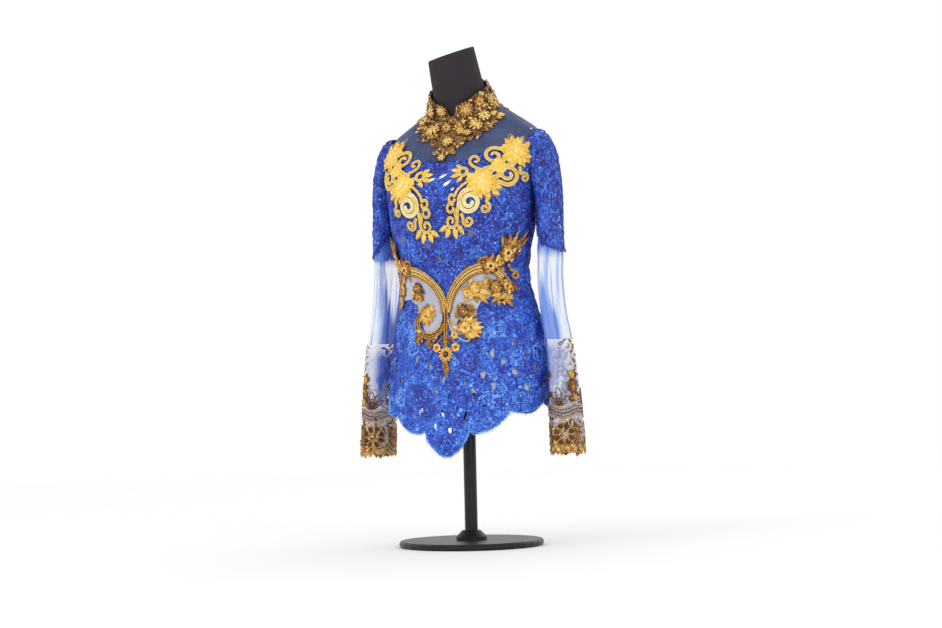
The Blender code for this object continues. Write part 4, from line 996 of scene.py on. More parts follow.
def scatterTree():  # a shape strewn over a sheet, thinned where "cover" is low
    tree, given, keys = newTree("strewn lace", Stamp=("Object", None), Spacing=("Float", 0.01),
                                Density=("Float", 9000.0), Small=("Float", 0.004), Large=("Float", 0.007),
                                High=("Float", 1.0), Seed=("Int", 1), Finish=("Material", None))
    strewn = tree.nodes.new("GeometryNodeDistributePointsOnFaces")
    strewn.distribute_method = "POISSON"
    for socket, value in (("Mesh", "Geometry"), ("Distance Min", "Spacing"), ("Density Max", "Density"),
                          ("Seed", "Seed")):
        tree.links.new(given[value], strewn.inputs[socket])
    tree.links.new(named(tree, "cover"), strewn.inputs["Density Factor"])
    shape = grow(tree, "GeometryNodeObjectInfo", {0: given["Stamp"]}, out=4)

    def chance(low, high, shift):
        seed = grow(tree, "ShaderNodeMath", {0: given["Seed"], 1: float(shift)}, operation="ADD")
        return grow(tree, "FunctionNodeRandomValue", {2: low, 3: high, 8: seed}, 1, data_type="FLOAT")

    spin = grow(tree, "FunctionNodeAxisAngleToRotation", {0: (0, 0, 1), 1: chance(0.0, 6.283, 11)})
    turn = grow(tree, "FunctionNodeRotateRotation", {0: strewn.outputs["Rotation"], 1: spin},
                rotation_space="LOCAL")
    across = chance(given["Small"], given["Large"], 23)
    deep = grow(tree, "ShaderNodeMath", {0: across, 1: given["High"]}, operation="MULTIPLY")
    size = grow(tree, "ShaderNodeCombineXYZ", {0: across, 1: across, 2: deep})
    placed = grow(tree, "GeometryNodeInstanceOnPoints",
                  {0: strewn.outputs["Points"], 2: shape, 5: turn, 6: size})
    tinted = grow(tree, "GeometryNodeStoreNamedAttribute", {0: placed, 2: "tint", 3: chance(0.0, 1.0, 37)},
                  domain="INSTANCE", data_type="FLOAT")
    solid = grow(tree, "GeometryNodeRealizeInstances", {0: tinted})
    finishTree(tree, solid, given["Finish"])
    return tree, keys


def runTree(made, treeAndKeys, **settings):  # evaluates the tree once and keeps the plain mesh
    tree, keys = treeAndKeys
    worker = made.modifiers.new("work", "NODES")
    worker.node_group = tree
    for key, value in settings.items():
        worker[keys[key]] = value
    made.update_tag()
    return settle(made)


sweep, stamping, strewing = sweepTree(), stampTree(), scatterTree()


def stampShape(name, points, faces):
    made = linked(name, meshOf(name, points, faces))
    made["gauge"] = True
    return made


def domed(outline, levels, eye):  # rings of an outline drawn in and raised, closed by a point
    points = [(x * share, y * share, high) for share, high in levels for x, y in outline] + [eye]
    count = len(outline)
    faces = gridFaces(len(levels), count, True)
    last = (len(levels) - 1) * count
    faces += [(last + j, last + (j + 1) % count, len(points) - 1) for j in range(count)]
    return points, faces


def leafOutline():  # a leaf one unit long, from its root to its tip
    steps, fat = 7, 0.42
    along = [k / steps for k in range(steps + 1)]
    half = [0.5 * sin(pi * min(1, t / fat) * 0.5) if t < fat
            else 0.5 * cos(pi * 0.5 * (t - fat) / (1 - fat)) ** 0.8 for t in along]
    return along, half


def blade(name, rows):  # a ridged leaf or petal: at each share its half width and rise
    points = []
    for t, h, shoulder, z, middle in rows:
        points += [(t, -h, 0), (t, -shoulder * h, z), (t, 0, middle), (t, shoulder * h, z), (t, h, 0)]
    return stampShape(name, points, [tuple(reversed(f)) for f in gridFaces(4, 5)])


def addLeafStamp():
    rows = ((0.0, 0.03), (0.28, 0.46), (0.66, 0.36), (1.0, 0.02))
    return blade("leafStamp", [(t, h, 0.6, 0.8 * h + 0.1, 0.8 * h) for t, h in rows])


def addPetalStamp():  # rounded, with a hollow near its tip
    rows = ((0.0, 0.10, 0.1), (0.45, 0.42, 0.48), (0.82, 0.44, 0.42), (1.0, 0.12, 0.05))
    return blade("petalStamp", [(t, h, 0.5, z, 0.72 * z) for t, h, z in rows])


def ringOf(count):
    return [(cos(2 * pi * k / count), sin(2 * pi * k / count)) for k in range(count)]


def addRosetteStamp():  # a flower of ridged petals round an eye
    petals, deep = 6, 0.62
    count = 2 * petals
    reach = [1.0 if k % 2 == 0 else deep for k in range(count)]
    outline = [(r * cos(pi * k / petals), r * sin(pi * k / petals))
               for k, r in enumerate(reach)]
    inner = [(0.55 * x / math.hypot(x, y), 0.55 * y / math.hypot(x, y)) for x, y in outline]
    points = [(x, y, 0) for x, y in outline]
    points += [(x, y, 0.9 if k % 2 == 0 else 0.25) for k, (x, y) in enumerate(inner)] + [(0, 0, 0.35)]
    faces = gridFaces(2, count, True)
    faces += [(count + k, count + (k + 1) % count, 2 * count) for k in range(count)]
    return stampShape("rosetteStamp", points, faces)


def addCurlStamp():  # a hooked cord that thins to its end
    points = []
    for k in range(8):
        t = k / 7
        turn, radius = 4.6 * t, 0.95 - 0.62 * t
        half = 0.17 * (1 - 0.55 * t)
        for shift, high in ((half, 0), (0, 0.9 - 0.3 * t), (-half, 0)):
            points.append(((radius + shift) * cos(turn), (radius + shift) * sin(turn), high))
    return stampShape("curlStamp", points, gridFaces(8, 3))


def addArcStamp():  # concentric corded arcs of a large lace flower
    points, faces = [], []
    for radius, start, sweepAngle, width in ((1.0, 0.3, 4.3, 0.085), (0.70, 2.6, 4.4, 0.085),
                                             (0.42, 0.9, 4.6, 0.08)):
        first = len(points)
        for k in range(9):
            turn = start + sweepAngle * k / 8
            wave = 1 + 0.06 * sin(6 * turn)
            for shift, high in ((width, 0), (0, 1.0), (-width, 0)):
                r = radius * wave + shift
                points.append((r * cos(turn), r * sin(turn), high))
        faces += [tuple(first + c for c in f) for f in gridFaces(9, 3)]
    return stampShape("arcStamp", points, faces)


stamps = {
    "leaf": addLeafStamp(), "petal": addPetalStamp(), "curl": addCurlStamp(), "arcs": addArcStamp(),
    "knot": stampShape("knotStamp", *domed(ringOf(7), ((1.0, 0.0), (0.74, 0.68)), (0, 0, 1.0))),
    "sequin": stampShape("sequinStamp", *domed(ringOf(6), ((1.0, 0.3),), (0, 0, 0.8))),
    "rosette": addRosetteStamp()}


def alongPath(path):  # how far along a flat path each of its points lies
    return np.concatenate([[0], np.cumsum(np.hypot(*np.diff(path, axis=0).T))])


def smoothPath(spots, step=0.0015):  # a curve through given points
    spots = np.asarray(spots, float)
    chord = alongPath(spots)
    at = np.linspace(0, chord[-1], max(4, int(chord[-1] / step) + 1))
    return np.stack([through(chord, spots[:, k], at) for k in range(2)], -1)


def spiralPath(x, y, radius, start, turns, root=None, shrink=0.74):
    step = 0.0015
    count = max(8, int(abs(turns) * 2 * pi * radius * 0.65 / step))
    t = np.linspace(0, 1, count)
    turn = radians(start) + 2 * pi * turns * t
    reach = radius * (1 - shrink * t)
    path = np.stack([x + reach * np.cos(turn), y + reach * np.sin(turn)], -1)
    if root is None:
        return path
    way = np.sign(turns) * np.array([-sin(turn[0]), cos(turn[0])])
    far = np.linalg.norm(path[0] - root)
    bend = path[0] - 0.45 * far * way  # leaves the root and meets the spiral along it
    s = np.linspace(0, 1, max(5, int(far / step)))[:-1, None]
    lead = (1 - s) ** 2 * np.asarray(root, float) + 2 * s * (1 - s) * bend + s * s * path[0]
    return np.concatenate([lead, path])


def sideways(path, distance):
    ahead = np.gradient(path, axis=0)
    ahead /= np.maximum(np.linalg.norm(ahead, axis=1, keepdims=True), 1e-9)
    return path + np.asarray(distance)[..., None] * np.stack([-ahead[:, 1], ahead[:, 0]], -1)


def onTorso(ground):  # flat work worn that far off the torso
    return lambda x, y, lift: lifted(x, y, ground + np.asarray(lift))


def turnedBy(outline, aim, x=0.0, y=0.0):
    return [(x + a * cos(aim) - b * sin(aim), y + a * sin(aim) + b * cos(aim))
            for a, b in outline]


class Needlework:  # cords, ribbons and stamps laid flat, then worn on a surface;
  # knot to scroll take places and sizes in millimetres, the other methods and every lift in metres
    def __init__(self, wear):
        self.wear, self.cords, self.ribbons, self.marks = wear, [], [], {}
        self.at((0.0, 0.0), (1.0, 1.0))

    def at(self, origin, stretch=None, lean=0.0, mirror=1):
  # where flat work is laid: its middle, metres to surface units, its turn and its handedness
        if stretch is None:
            small, (x, y) = 0.002, origin
            wide = np.linalg.norm(self.wear(x + small, y, 0.0) - self.wear(x - small, y, 0.0))
            tall = np.linalg.norm(self.wear(x, y + small, 0.0) - self.wear(x, y - small, 0.0))
            stretch = (2 * small / wide, 2 * small / tall)
        self.origin, self.stretch = np.asarray(origin), stretch
        self.lean, self.mirror = radians(lean), mirror

    def spot(self, degrees, y):
        self.at((radians(degrees), y))

    def laid(self, path):
        path = np.asarray(path, float)
        x = path[..., 0] * cos(self.lean) - path[..., 1] * sin(self.lean)
        y = path[..., 0] * sin(self.lean) + path[..., 1] * cos(self.lean)
        return np.stack([self.origin[0] + self.mirror * x * self.stretch[0],
                         self.origin[1] + y * self.stretch[1]], -1)

    def cord(self, path, thick, tint, lift=0.0, taper=(1.0, 1.0)):
        share = np.linspace(0, 1, len(path))
        thin = np.minimum(1, np.minimum(taper[0] + share * 8, taper[1] + (1 - share) * 8))
        self.cords.append((self.laid(path), thick * thin, np.full(len(path), tint), lift))

    def rounds(self, across, ups, rows, lift=0.0):
        for rise, thick, tint in rows:
            self.cord(np.stack([across, ups + rise], -1), thick, tint, lift)

    def ribbon(self, path, width, lift, high, tint):  # a slightly domed strip of satin stitch
        width = np.broadcast_to(width, len(path))
        section = ((0.5, 0.0), (0.46, 0.9), (0.2, 1.0), (-0.2, 1.0), (-0.46, 0.9), (-0.5, 0.0))
        rows = [(self.laid(sideways(path, share * width)), lift + level * high) for share, level in section]
        self.ribbons.append((rows, tint, self.mirror))

    def mark(self, kind, x, y, aim, size, tint, lift=0.0):
        aim += self.lean
        aim = aim if self.mirror > 0 else pi - aim
        self.marks.setdefault(kind, []).append((*self.laid((x, y)), aim, *size, tint, lift))

    def knot(self, x, y, across, high, tint, lift=0.0):
        self.mark("knot", x * mm, y * mm, 0, (across * mm, across * mm, high * mm), tint, lift)

    def leaf(self, x, y, towards, length, width, high, tint, lift=0.0, edged=None):
        x, y, length, width = x * mm, y * mm, length * mm, width * mm
        aim = radians(towards)
        self.mark("leaf", x, y, aim, (length, width, high * mm), tint, lift)
        if edged is not None:
            along, half = leafOutline()
            side = [(t * length, h * width) for t, h in zip(along, half)]
            outline = side + [(a, -b) for a, b in side[-2::-1]]
            self.cord(smoothPath(turnedBy(outline, aim, x, y), 0.0026), 0.00042, edged, lift)

    def leafTo(self, x, y, tipX, tipY, width, high, tint, lift=0.0, edged=None):
        towards = math.degrees(math.atan2(tipY - y, tipX - x))
        self.leaf(x, y, towards, math.hypot(tipX - x, tipY - y), width, high, tint, lift, edged)

    def group(self, x, y, leaves, tint, high=2.4, edged=0.22):
  # leaves round one point: direction, length and width
        for k, (towards, length, width) in enumerate(leaves):
            self.leaf(x, y, towards, length * leafGrow, width * leafGrow, high, tint + 0.12 * (k % 3 - 1),
                      0.0004, edged)

    def bloom(self, x, y, radius, petals, tints, layers=2, high=2.2, lift=0.0, spin=0.0, eye=0.5, rim=None):
        x, y, radius, high = x * mm, y * mm, radius * mm, high * mm
        self.mark("knot", x, y, 0, (radius * 0.70, radius * 0.70, high * 0.5), min(tints) - 0.16, lift)
        for layer in range(layers):
            share = 1 - 0.27 * layer
            count = petals - (petals // 5) * layer
            root = 0.18 * radius * share
            petal = radius * share * 2.0 * pi / count
            shade = tints[0] + (tints[1] - tints[0]) * (layer / max(1, layers - 1))
            for k in range(count):
                aim = 2 * pi * (k + 0.5 * layer) / count + spin
                foot = (x + root * cos(aim), y + root * sin(aim), aim)
                if rim is not None:  # a wider petal below, which shows as an outline
                    self.mark("petal", *foot, (radius * share * 0.95, petal * 1.3, high * 0.8), rim,
                              lift + 0.0007 * layer - 0.0001)
                self.mark("petal", *foot, (radius * share * 0.84, petal * 0.86, high),
                          shade + 0.08 * ((k * 7) % 3 - 1), lift + 0.0007 * layer + 0.0002 * (k % 2))
        self.mark("knot", x, y, 0, (radius * 0.20, radius * 0.20, high * 0.9), eye, lift + 0.0008 * layers)

    def strip(self, spots, width, tints, **finish):
        self.band(smoothPath(np.array(spots) * mm), width * mm, tints, **finish)

    def line(self, spots, thick, tint, lift):
        self.cord(smoothPath(np.array(spots) * mm), thick * mm, tint, lift)

    def scroll(self, x, y, radius, start, turns, root, width, tints, shrink=0.74, **finish):
        root = None if root is None else np.array(root) * mm
        path = spiralPath(x * mm, y * mm, radius * mm, start, turns, root, shrink)
        self.band(path, width * mm, tints, **finish)
        return path

    def band(self, path, width, tints, lift=0.0, cordThick=0.0008, dots=0.0030, taper=1.0):
  # two cords with satin stitch between them and a row of knots along the middle
        width = np.broadcast_to(width, len(path)) * np.linspace(1, taper, len(path))
        half = 0.5 * width
        self.ribbon(path, width, lift, 0.0006, tints["fill"])
        for side in (-1, 1):
            self.cord(sideways(path, side * (half - cordThick * 0.5)), cordThick, tints["cord"],
                      lift + 0.0006)
            if tints.get("line") is not None:
                self.cord(sideways(path, side * (half * 0.52)), cordThick * 0.55, tints["line"],
                          lift + 0.0007)
        length = alongPath(path)
        for at in np.arange(dots, length[-1] - dots, dots):
            x, y = np.interp(at, length, path[:, 0]), np.interp(at, length, path[:, 1])
            k = min(len(path) - 2, int(np.searchsorted(length, at)))
            aim = math.atan2(*(path[k + 1] - path[k])[::-1])
            wide = float(np.interp(at, length, width))
            self.mark("knot", x, y, aim, (dots * 0.40, 0.13 * wide, 0.0006), tints["dot"], lift + 0.0007)

    def axes(self, x, y, lift):
        small = 2 * mm
        right = self.wear(x + small, y, lift) - self.wear(x - small, y, lift)
        up = self.wear(x, y + small, lift) - self.wear(x, y - small, lift)
        right /= np.linalg.norm(right, axis=-1, keepdims=True)
        up /= np.linalg.norm(up, axis=-1, keepdims=True)
        face = np.cross(right, up)
        return right, up, face / np.linalg.norm(face, axis=-1, keepdims=True)

    def sewCords(self, name, finish):
        points, edges, thick, tint, first = [], [], [], [], 0
        for path, radius, shade, lift in self.cords:
            points.append(self.wear(path[:, 0], path[:, 1], lift + radius * 0.7))
            edges += [(first + k, first + k + 1) for k in range(len(path) - 1)]
            first += len(path)
            thick.append(radius)
            tint.append(shade)
        mesh = meshOf(name, np.concatenate(points), edges=edges)
        keepNumbers(mesh, thick=np.concatenate(thick), tint=np.concatenate(tint))
        return runTree(linked(name, mesh), sweep, Sides=4, Finish=finish)

    def sewMarks(self, name, kind, finish):
        x, y, aim, length, width, high, tint, lift = np.array(self.marks[kind]).T
        right, up, face = self.axes(x, y, lift)
        towards = np.cos(aim)[:, None] * right + np.sin(aim)[:, None] * up
        mesh = meshOf(name, self.wear(x, y, lift))
        keepNumbers(mesh, "FLOAT_VECTOR", face=face, aim=towards, size=np.stack([length, width, high], -1))
        keepNumbers(mesh, tint=tint)
        return runTree(linked(name, mesh), stamping, Stamp=stamps[kind], Finish=finish)

    def sewRibbons(self, name, finish):
        points, faces, tints, first = [], [], [], 0
        for rows, tint, mirror in self.ribbons:
            grid = np.stack([self.wear(r[:, 0], r[:, 1], np.full(len(r), high)) for r, high in rows], 1)
            points.append(grid.reshape(-1, 3))
            order = -1 if mirror > 0 else 1
            faces += [tuple(first + c for c in f[::order]) for f in gridFaces(grid.shape[0], grid.shape[1])]
            first += grid.shape[0] * grid.shape[1]
            tints.append(np.full(grid.shape[0] * grid.shape[1], tint))
        made = addMesh(name, np.concatenate(points), faces, finish)
        keepNumbers(made.data, tint=np.concatenate(tints))
        return made

    def sew(self, name, finish, *others):  # one object of everything, with the others joined in
        parts = list(others)
        if self.cords:
            parts.append(self.sewCords(name + "Cords", finish))
        if self.ribbons:
            parts.append(self.sewRibbons(name + "Ribbons", finish))
        parts += [self.sewMarks(f"{name}{kind.capitalize()}", kind, finish) for kind in self.marks]
        return joinParts(name, parts)


def joinParts(name, parts):
    if len(parts) > 1:
        with bpy.context.temp_override(active_object=parts[0], object=parts[0], selected_objects=parts,
                                       selected_editable_objects=parts):
            bpy.ops.object.join()
    parts[0].name = parts[0].data.name = name
    return parts[0]


def threadPaint(name, stops, speckle=1.0):  # embroidery whose shade comes with each shape
    paint = Paint(name, {"Metallic": 0.3, "Specular IOR Level": 0.5})
    where = paint.place()
    cloud = paint.noise(where, 220.0, 2.0, 0.6)
    fine = paint.noise(where, 1500.0, 2.0, 0.6)
    bead = paint.cells(where, 430.0, flat=False)
    tone = paint.attribute("tint") + (cloud - 0.5) * 0.50 + (fine - 0.5) * 0.30 * speckle
    colour = paint.ramp(tone + (0.42 - bead) * 0.40 * speckle, *stops)
    stitch = paint.cells(where, 900.0, flat=False)
    height = fine * 0.5 + stitch * 0.6
    return paint.feed(Base_Color=colour, Roughness=0.42 + fine * 0.22, Normal=paint.bump(height, 0.0004, 0.7))


looks["chestThread"] = threadPaint("chest thread", [
    (0.05, linear(206, 144, 38)), (0.30, linear(238, 190, 68)), (0.55, linear(250, 216, 106)),
    (0.78, linear(254, 234, 152)), (0.97, linear(255, 249, 208))], speckle=1.7)
looks["laceThread"] = threadPaint("brown and gold thread", [
    (0.03, linear(58, 30, 18)), (0.25, linear(118, 70, 34)), (0.48, linear(184, 128, 48)),
    (0.70, linear(232, 182, 78)), (0.95, linear(250, 226, 150))])

print("stage: chest appliques")
chestCut = {"angle": 36.5, "up": 0.1875, "radius": 0.135, "lean": {1: 0.0, -1: 7.0}}
chestBand = {"cordThick": 0.00095, "dots": 0.0026}
chestTints = {"fill": 0.50, "cord": 0.62, "line": 0.72, "dot": 0.18}
chestScrolls = [  # in mm: middle, radius, then start, turns, width, root, cream
    (47, 18, 20, 238, 1.45, 7.6, (16, -6), 0.0), (80, 15, 10, 130, -1.15, 5.2, (68, 36), 0.0),
    (25, 55, 17, 62, 1.20, 6.6, (48, 74), 0.0), (-9, 46, 12, 215, -0.90, 5.6, (6, 24), 0.0),
    (-20, -32, 20, 112, 1.70, 8.0, (-8, -4), 0.34), (8, -43, 9.5, 64, -1.15, 5.0, (14, -20), 0.0),
    (-33, 22, 8.5, 0, 1.0, 5.2, None, 0.0), (-54, -26, 7, 20, 0.95, 4.4, None, 0.0),
    (-58, -42, 8, 30, 0.95, 4.6, None, 0.0), (-58, -66, 14.5, 34, -1.20, 6.0, (-43, -44), 0.0),
    (-21, -66, 10.5, 172, 1.20, 5.2, (-36, -52), 0.0)]
chestStems = [  # points and width in mm
    ([(-30, -14), (-39, -30), (-42, -46), (-43, -62)], 5.0), ([(14, 16), (26, 34), (44, 50)], 8.0),
    ([(-10, 12), (-22, 17), (-28, 20)], 6.0), ([(0, 22), (14, 30), (30, 30), (44, 40)], 7.0),
    ([(52, 40), (40, 28), (30, 14), (16, 8)], 8.0)]
chestTips = [  # leaf roots, tips and widths in mm
    (56, 80, 61, 101, 11), (78, 74, 92, 88, 12), (80, 56, 95, 44, 12), (70, 82, 79, 96, 8),
    (84, 66, 97, 67, 8), (-39, 25, -60, 29, 9), (-39, 18, -60, 14, 9), (-36, 30, -49, 39, 8),
    (-34, 12, -45, 2, 8), (-68, -74, -86, -84, 10), (-63, -78, -72, -97, 11), (-52, -78, -47, -100, 11),
    (-44, -72, -31, -92, 10), (-4, -14, 0, -29, 12), (8, -14, 14, -30, 12), (18, -12, 33, -21, 12),
    (-14, -10, -16, -20, 9), (24, -4, 38, -8, 10)]


def chestApplique(tag, side):
    work = Needlework(onTorso(lifts["applique"] + 0.0004))
    origin = (side * radians(chestCut["angle"]), chestCut["up"])
    work.at(origin, (1 / chestCut["radius"], 1.0), chestCut["lean"][side], side)
    for x, y, radius, start, turns, width, root, cream in chestScrolls:
        tints = {key: value + cream for key, value in chestTints.items()}
        shrink, taper = (0.12, 1.0) if root is None else (0.76, 0.72)
        path = work.scroll(x, y, radius, start, turns, root, width, tints, shrink, taper=taper, **chestBand)
        if root is not None:
            work.mark("knot", *path[-1], 0, (0.0024, 0.0024, 0.0018), 0.7 + cream, 0.0006)
    for spots, width in chestStems:
        work.strip(spots, width, chestTints, **chestBand)
    for k, (x, y, tipX, tipY, width) in enumerate(chestTips):
        work.leafTo(x, y, tipX, tipY, width, 2.2, 0.40 + 0.05 * (k % 3), 0.0003, 0.66)
    knobs = ((-24, 2), (-31, -2), (-38, -7), (-44, -13), (-47, -20))
    for k in range(9):  # along the spiral's inner edge
        x, y = (through(np.arange(5), row, k / 2) for row in zip(*knobs))
        work.knot(x, y, 3.0, 2.1, 0.45 + 0.12 * (k % 2), 0.0002)
    for x, y, reach, spin in ((1, 2, 30, 0.3), (61, 64, 34, 0.55)):  # pointed sepals behind each large flower
        for k in range(8):
            aim = 2 * pi * k / 8 + spin
            work.leafTo(x + 8 * cos(aim), y + 8 * sin(aim), x + reach * cos(aim), y + reach * sin(aim), 17,
                        2.2, 0.34 + 0.16 * (k % 2), 0.0004)
    work.bloom(1, 2, 25, 13, (0.46, 0.74), 4, 2.6, 0.0010, eye=0.78)
    work.bloom(61, 64, 27, 13, (0.42, 0.70), 4, 2.6, 0.0010, 0.2, eye=0.70)
    work.bloom(31, 34, 15, 9, (0.46, 0.60), 3, 2, 0.0012, 0.4, eye=0.6)
    work.bloom(-16, 8, 11, 8, (0.44, 0.62), 2, 2, 0.0010, 0.1, eye=0.6)
    made = work.sew(f"chestApplique{tag}", looks["chestThread"])
    return wearOn(made, "gold_cord", f"chest_applique_{tag[0].lower()}")


for tag, side in hands.items():
    chestApplique(tag, side)

print("stage: waist applique and its nets")
wingCut = {"turn": -2.0, "radius": 0.125, "columns": 80, "rows": 34}
wingEdge = np.array([
    (1.5, -0.052), (4, -0.030), (8, -0.012), (14, 0.004), (22, 0.018), (30, 0.027), (39, 0.033), (48, 0.034),
    (55, 0.028), (60, 0.017), (63, 0.002), (64, -0.014)])
wingFoot = np.array([(4, -0.084), (12, -0.094), (22, -0.090), (29, -0.068), (35, -0.040), (43, -0.027),
                     (52, -0.022), (62, -0.028)])


def wingNet(tag, side):
    degrees = np.linspace(4.6, 62, wingCut["columns"])
    top = through(*wingEdge.T, degrees) - 0.001
    low = through(*wingFoot.T, degrees) + 0.0016 * np.sin(degrees * 0.9) * np.sin(degrees * 0.37)
    up = top + np.linspace(0, 1, wingCut["rows"])[:, None] * (low - top)
    angle = np.broadcast_to(np.radians(wingCut["turn"] + side * degrees), up.shape)
    ripple = 0.0002 * np.sin(angle * 60 + up * 300)
    made = simpleSheet(f"wingNet{tag}", angle, up, lifts["net"] + 0.0006 + ripple, looks["wingNet"])
    return wearOn(made, "pale_net", f"waist_net_{tag[0].lower()}")


wingNets = {tag: wingNet(tag, side) for tag, side in hands.items()}
wingTints = {"fill": 0.84, "cord": 0.60, "line": None, "dot": 0.26}
darkTints = {"fill": 0.10, "cord": 0.60, "line": None, "dot": 0.70}
leafGrow = 1.24
fineDots = 0.0028


def looseLeaves(work, spots, tints):  # leaves turned every way, each with a bright knot
    for k, (x, y) in enumerate(spots):
        work.leaf(x, y, 137 * k % 360, 13, 7, 2.4, tints[k % 3], 0.0010)
        work.knot(x + 2, y - 2, 1.8, 1.4, 0.86, 0.0022)


def waistApplique():
    work = Needlework(onTorso(lifts["wings"] + 0.0002))
    middle, stretch = (radians(wingCut["turn"]), 0.0), (1 / wingCut["radius"], 1.0)
    for side in (1, -1):
        work.at(middle, stretch, 0.0, side)
        edge = smoothPath(np.stack([np.radians(wingEdge[:, 0]) * wingCut["radius"], wingEdge[:, 1]], -1),
                          0.0016)
        work.band(edge, 0.0150, wingTints, cordThick=0.00135, dots=0.0042)
        for shift, thick, tint in ((0.0086, 0.0007, 0.86), (0.0050, 0.0006, 0.12), (-0.0050, 0.0006, 0.12),
                                   (-0.0086, 0.0007, 0.14)):
            work.cord(sideways(edge, shift), thick, tint, 0.0004)
  # side cluster where the wing meets the waist seam, with its spikes
        work.bloom(110, 38, 17, 8, (0.30, 0.84), 3, 2.6, 0.0006, 0.3, 0.1)
        work.group(110, 36, ((150, 20, 9), (110, 22, 9), (75, 22, 9), (190, 15, 8)), 0.42)
        work.bloom(143, 62, 19, 8, (0.24, 0.86), 3, 2.8, 0.0006, 0.1, 0.12)
        work.bloom(128, 46, 13, 7, (0.16, 0.60), 2, 2.6, 0.0008, 0.2, 0.7)
        work.bloom(96, 46, 10, 7, (0.50, 0.20), 2, 2.4, 0.0006, 0.5, 0.7)
        work.group(146, 66, ((120, 24, 9), (95, 27, 9), (66, 30, 9), (40, 38, 9), (22, 28, 9), (150, 18, 8),
                             (-20, 20, 9)), 0.46)
        for k in range(26):  # small bright and dark leaves that thicken the side cluster
            t = k / 25
            x, y = 100 + 66 * t + 7 * sin(k * 2.1), 32 + 44 * t * t + 9 * cos(k * 1.7)
            work.leaf(x, y, 137 * k % 360, 11, 6, 2.6, (0.74, 0.06, 0.52, 0.86)[k % 4], 0.0016)
        for x, y, tipX, tipY in ((150, 78, 163, 108), (165, 80, 187, 106), (168, 72, 190, 94),
                                 (132, 74, 128, 96)):
            work.leafTo(x, y, tipX, tipY, 5, 1.8, 0.62, 0.0003, 0.24)
        work.scroll(157, 20, 9, 100, -1.15, (146, 40), 4.2, wingTints)
        work.group(150, 6, ((250, 18, 8), (290, 20, 8), (215, 15, 7)), 0.36)
    work.at(middle, stretch, 0.0, 1)
  # wearer's left wing: bright leaves, the curled flower, the tail and the shell of petals
    work.group(72, -6, ((178, 23, 10), (205, 21, 10), (238, 22, 11), (272, 24, 11), (306, 31, 12),
                        (338, 26, 11), (8, 24, 10), (40, 18, 9), (75, 14, 8), (140, 16, 8)), 0.66, 2.8, 0.34)
    work.bloom(72, -6, 12, 7, (0.50, 0.78), 2, 2.4, 0.0014, eye=0.9)
    work.bloom(54, -14, 9, 6, (0.66, 0.84), 2, 2.2, 0.0010, 0.4, 0.4)
    work.bloom(116, -4, 15, 8, (0.14, 0.50), 2, 2.6, 0.0008, 0.2, 0.80)
    work.bloom(138, -2, 11, 7, (0.30, 0.70), 2, 2.4, 0.0006, 0.2, 0.2)
    for x, y, radius, start, turns, root in ((104, 8, 7, 200, -1.1, (116, 2)),
                                             (126, 8, 7, -20, 1.1, (116, 2)),
                                             (106, -17, 6, 160, 1.1, (115, -8))):
        work.scroll(x, y, radius, start, turns, root, 3.4, darkTints, dots=fineDots)
    work.group(124, -18, ((215, 22, 9), (245, 20, 9), (275, 19, 10), (305, 27, 10), (335, 22, 9),
                          (190, 16, 8)), 0.62, 2.6, 0.3)
    for x, y, radius, start, turns, root in ((33, -45, 8, 40, 1.2, (44, -52)),
                                             (28, -58, 6, 90, 1.1, (42, -56)),
                                             (60, -44, 6, 200, -1.1, (46, -52))):
        work.scroll(x, y, radius, start, turns, root, 3.6, darkTints, dots=fineDots)
    work.group(46, -52, ((40, 16, 8), (8, 19, 9), (338, 21, 9), (75, 13, 7), (150, 12, 6)), 0.30, 2.6, 0.56)
    for k, (towards, length) in enumerate(((100, 20), (78, 24), (56, 27), (36, 31), (18, 34), (2, 36),
                                           (-14, 36), (-30, 34), (-48, 28), (-68, 22), (130, 16))):
        work.leaf(44, -84, towards, 1.08 * length, 12, 2.8, 0.60 + 0.12 * (k % 3), 0.0005, 0.20)
    work.bloom(46, -83, 15, 9, (0.50, 0.80), 2, 2.6, 0.0016, eye=0.5)
    work.bloom(22, -96, 8, 6, (0.66, 0.80), 2, 2.2, 0.0008, 0.3, 0.3)
    work.bloom(42, -52, 12, 7, (0.12, 0.40), 2, 2.6, 0.0010, 0.3, 0.76)
    work.line([(6, -66), (14, -86), (30, -100), (52, -108), (60, -100)], 1.1, 0.86, 0.0004)
    work.line([(5, -60), (20, -76), (34, -80)], 1, 0.72, 0.0006)
    looseLeaves(work, ((66, -18), (84, -14), (92, 2), (60, 6), (128, -30), (110, -20), (140, -20), (36, -66),
                       (60, -60), (30, -84), (62, -100), (74, -92), (70, -72), (34, -36), (52, -34), (98, 14),
                       (132, 12)), (0.80, 0.10, 0.60))
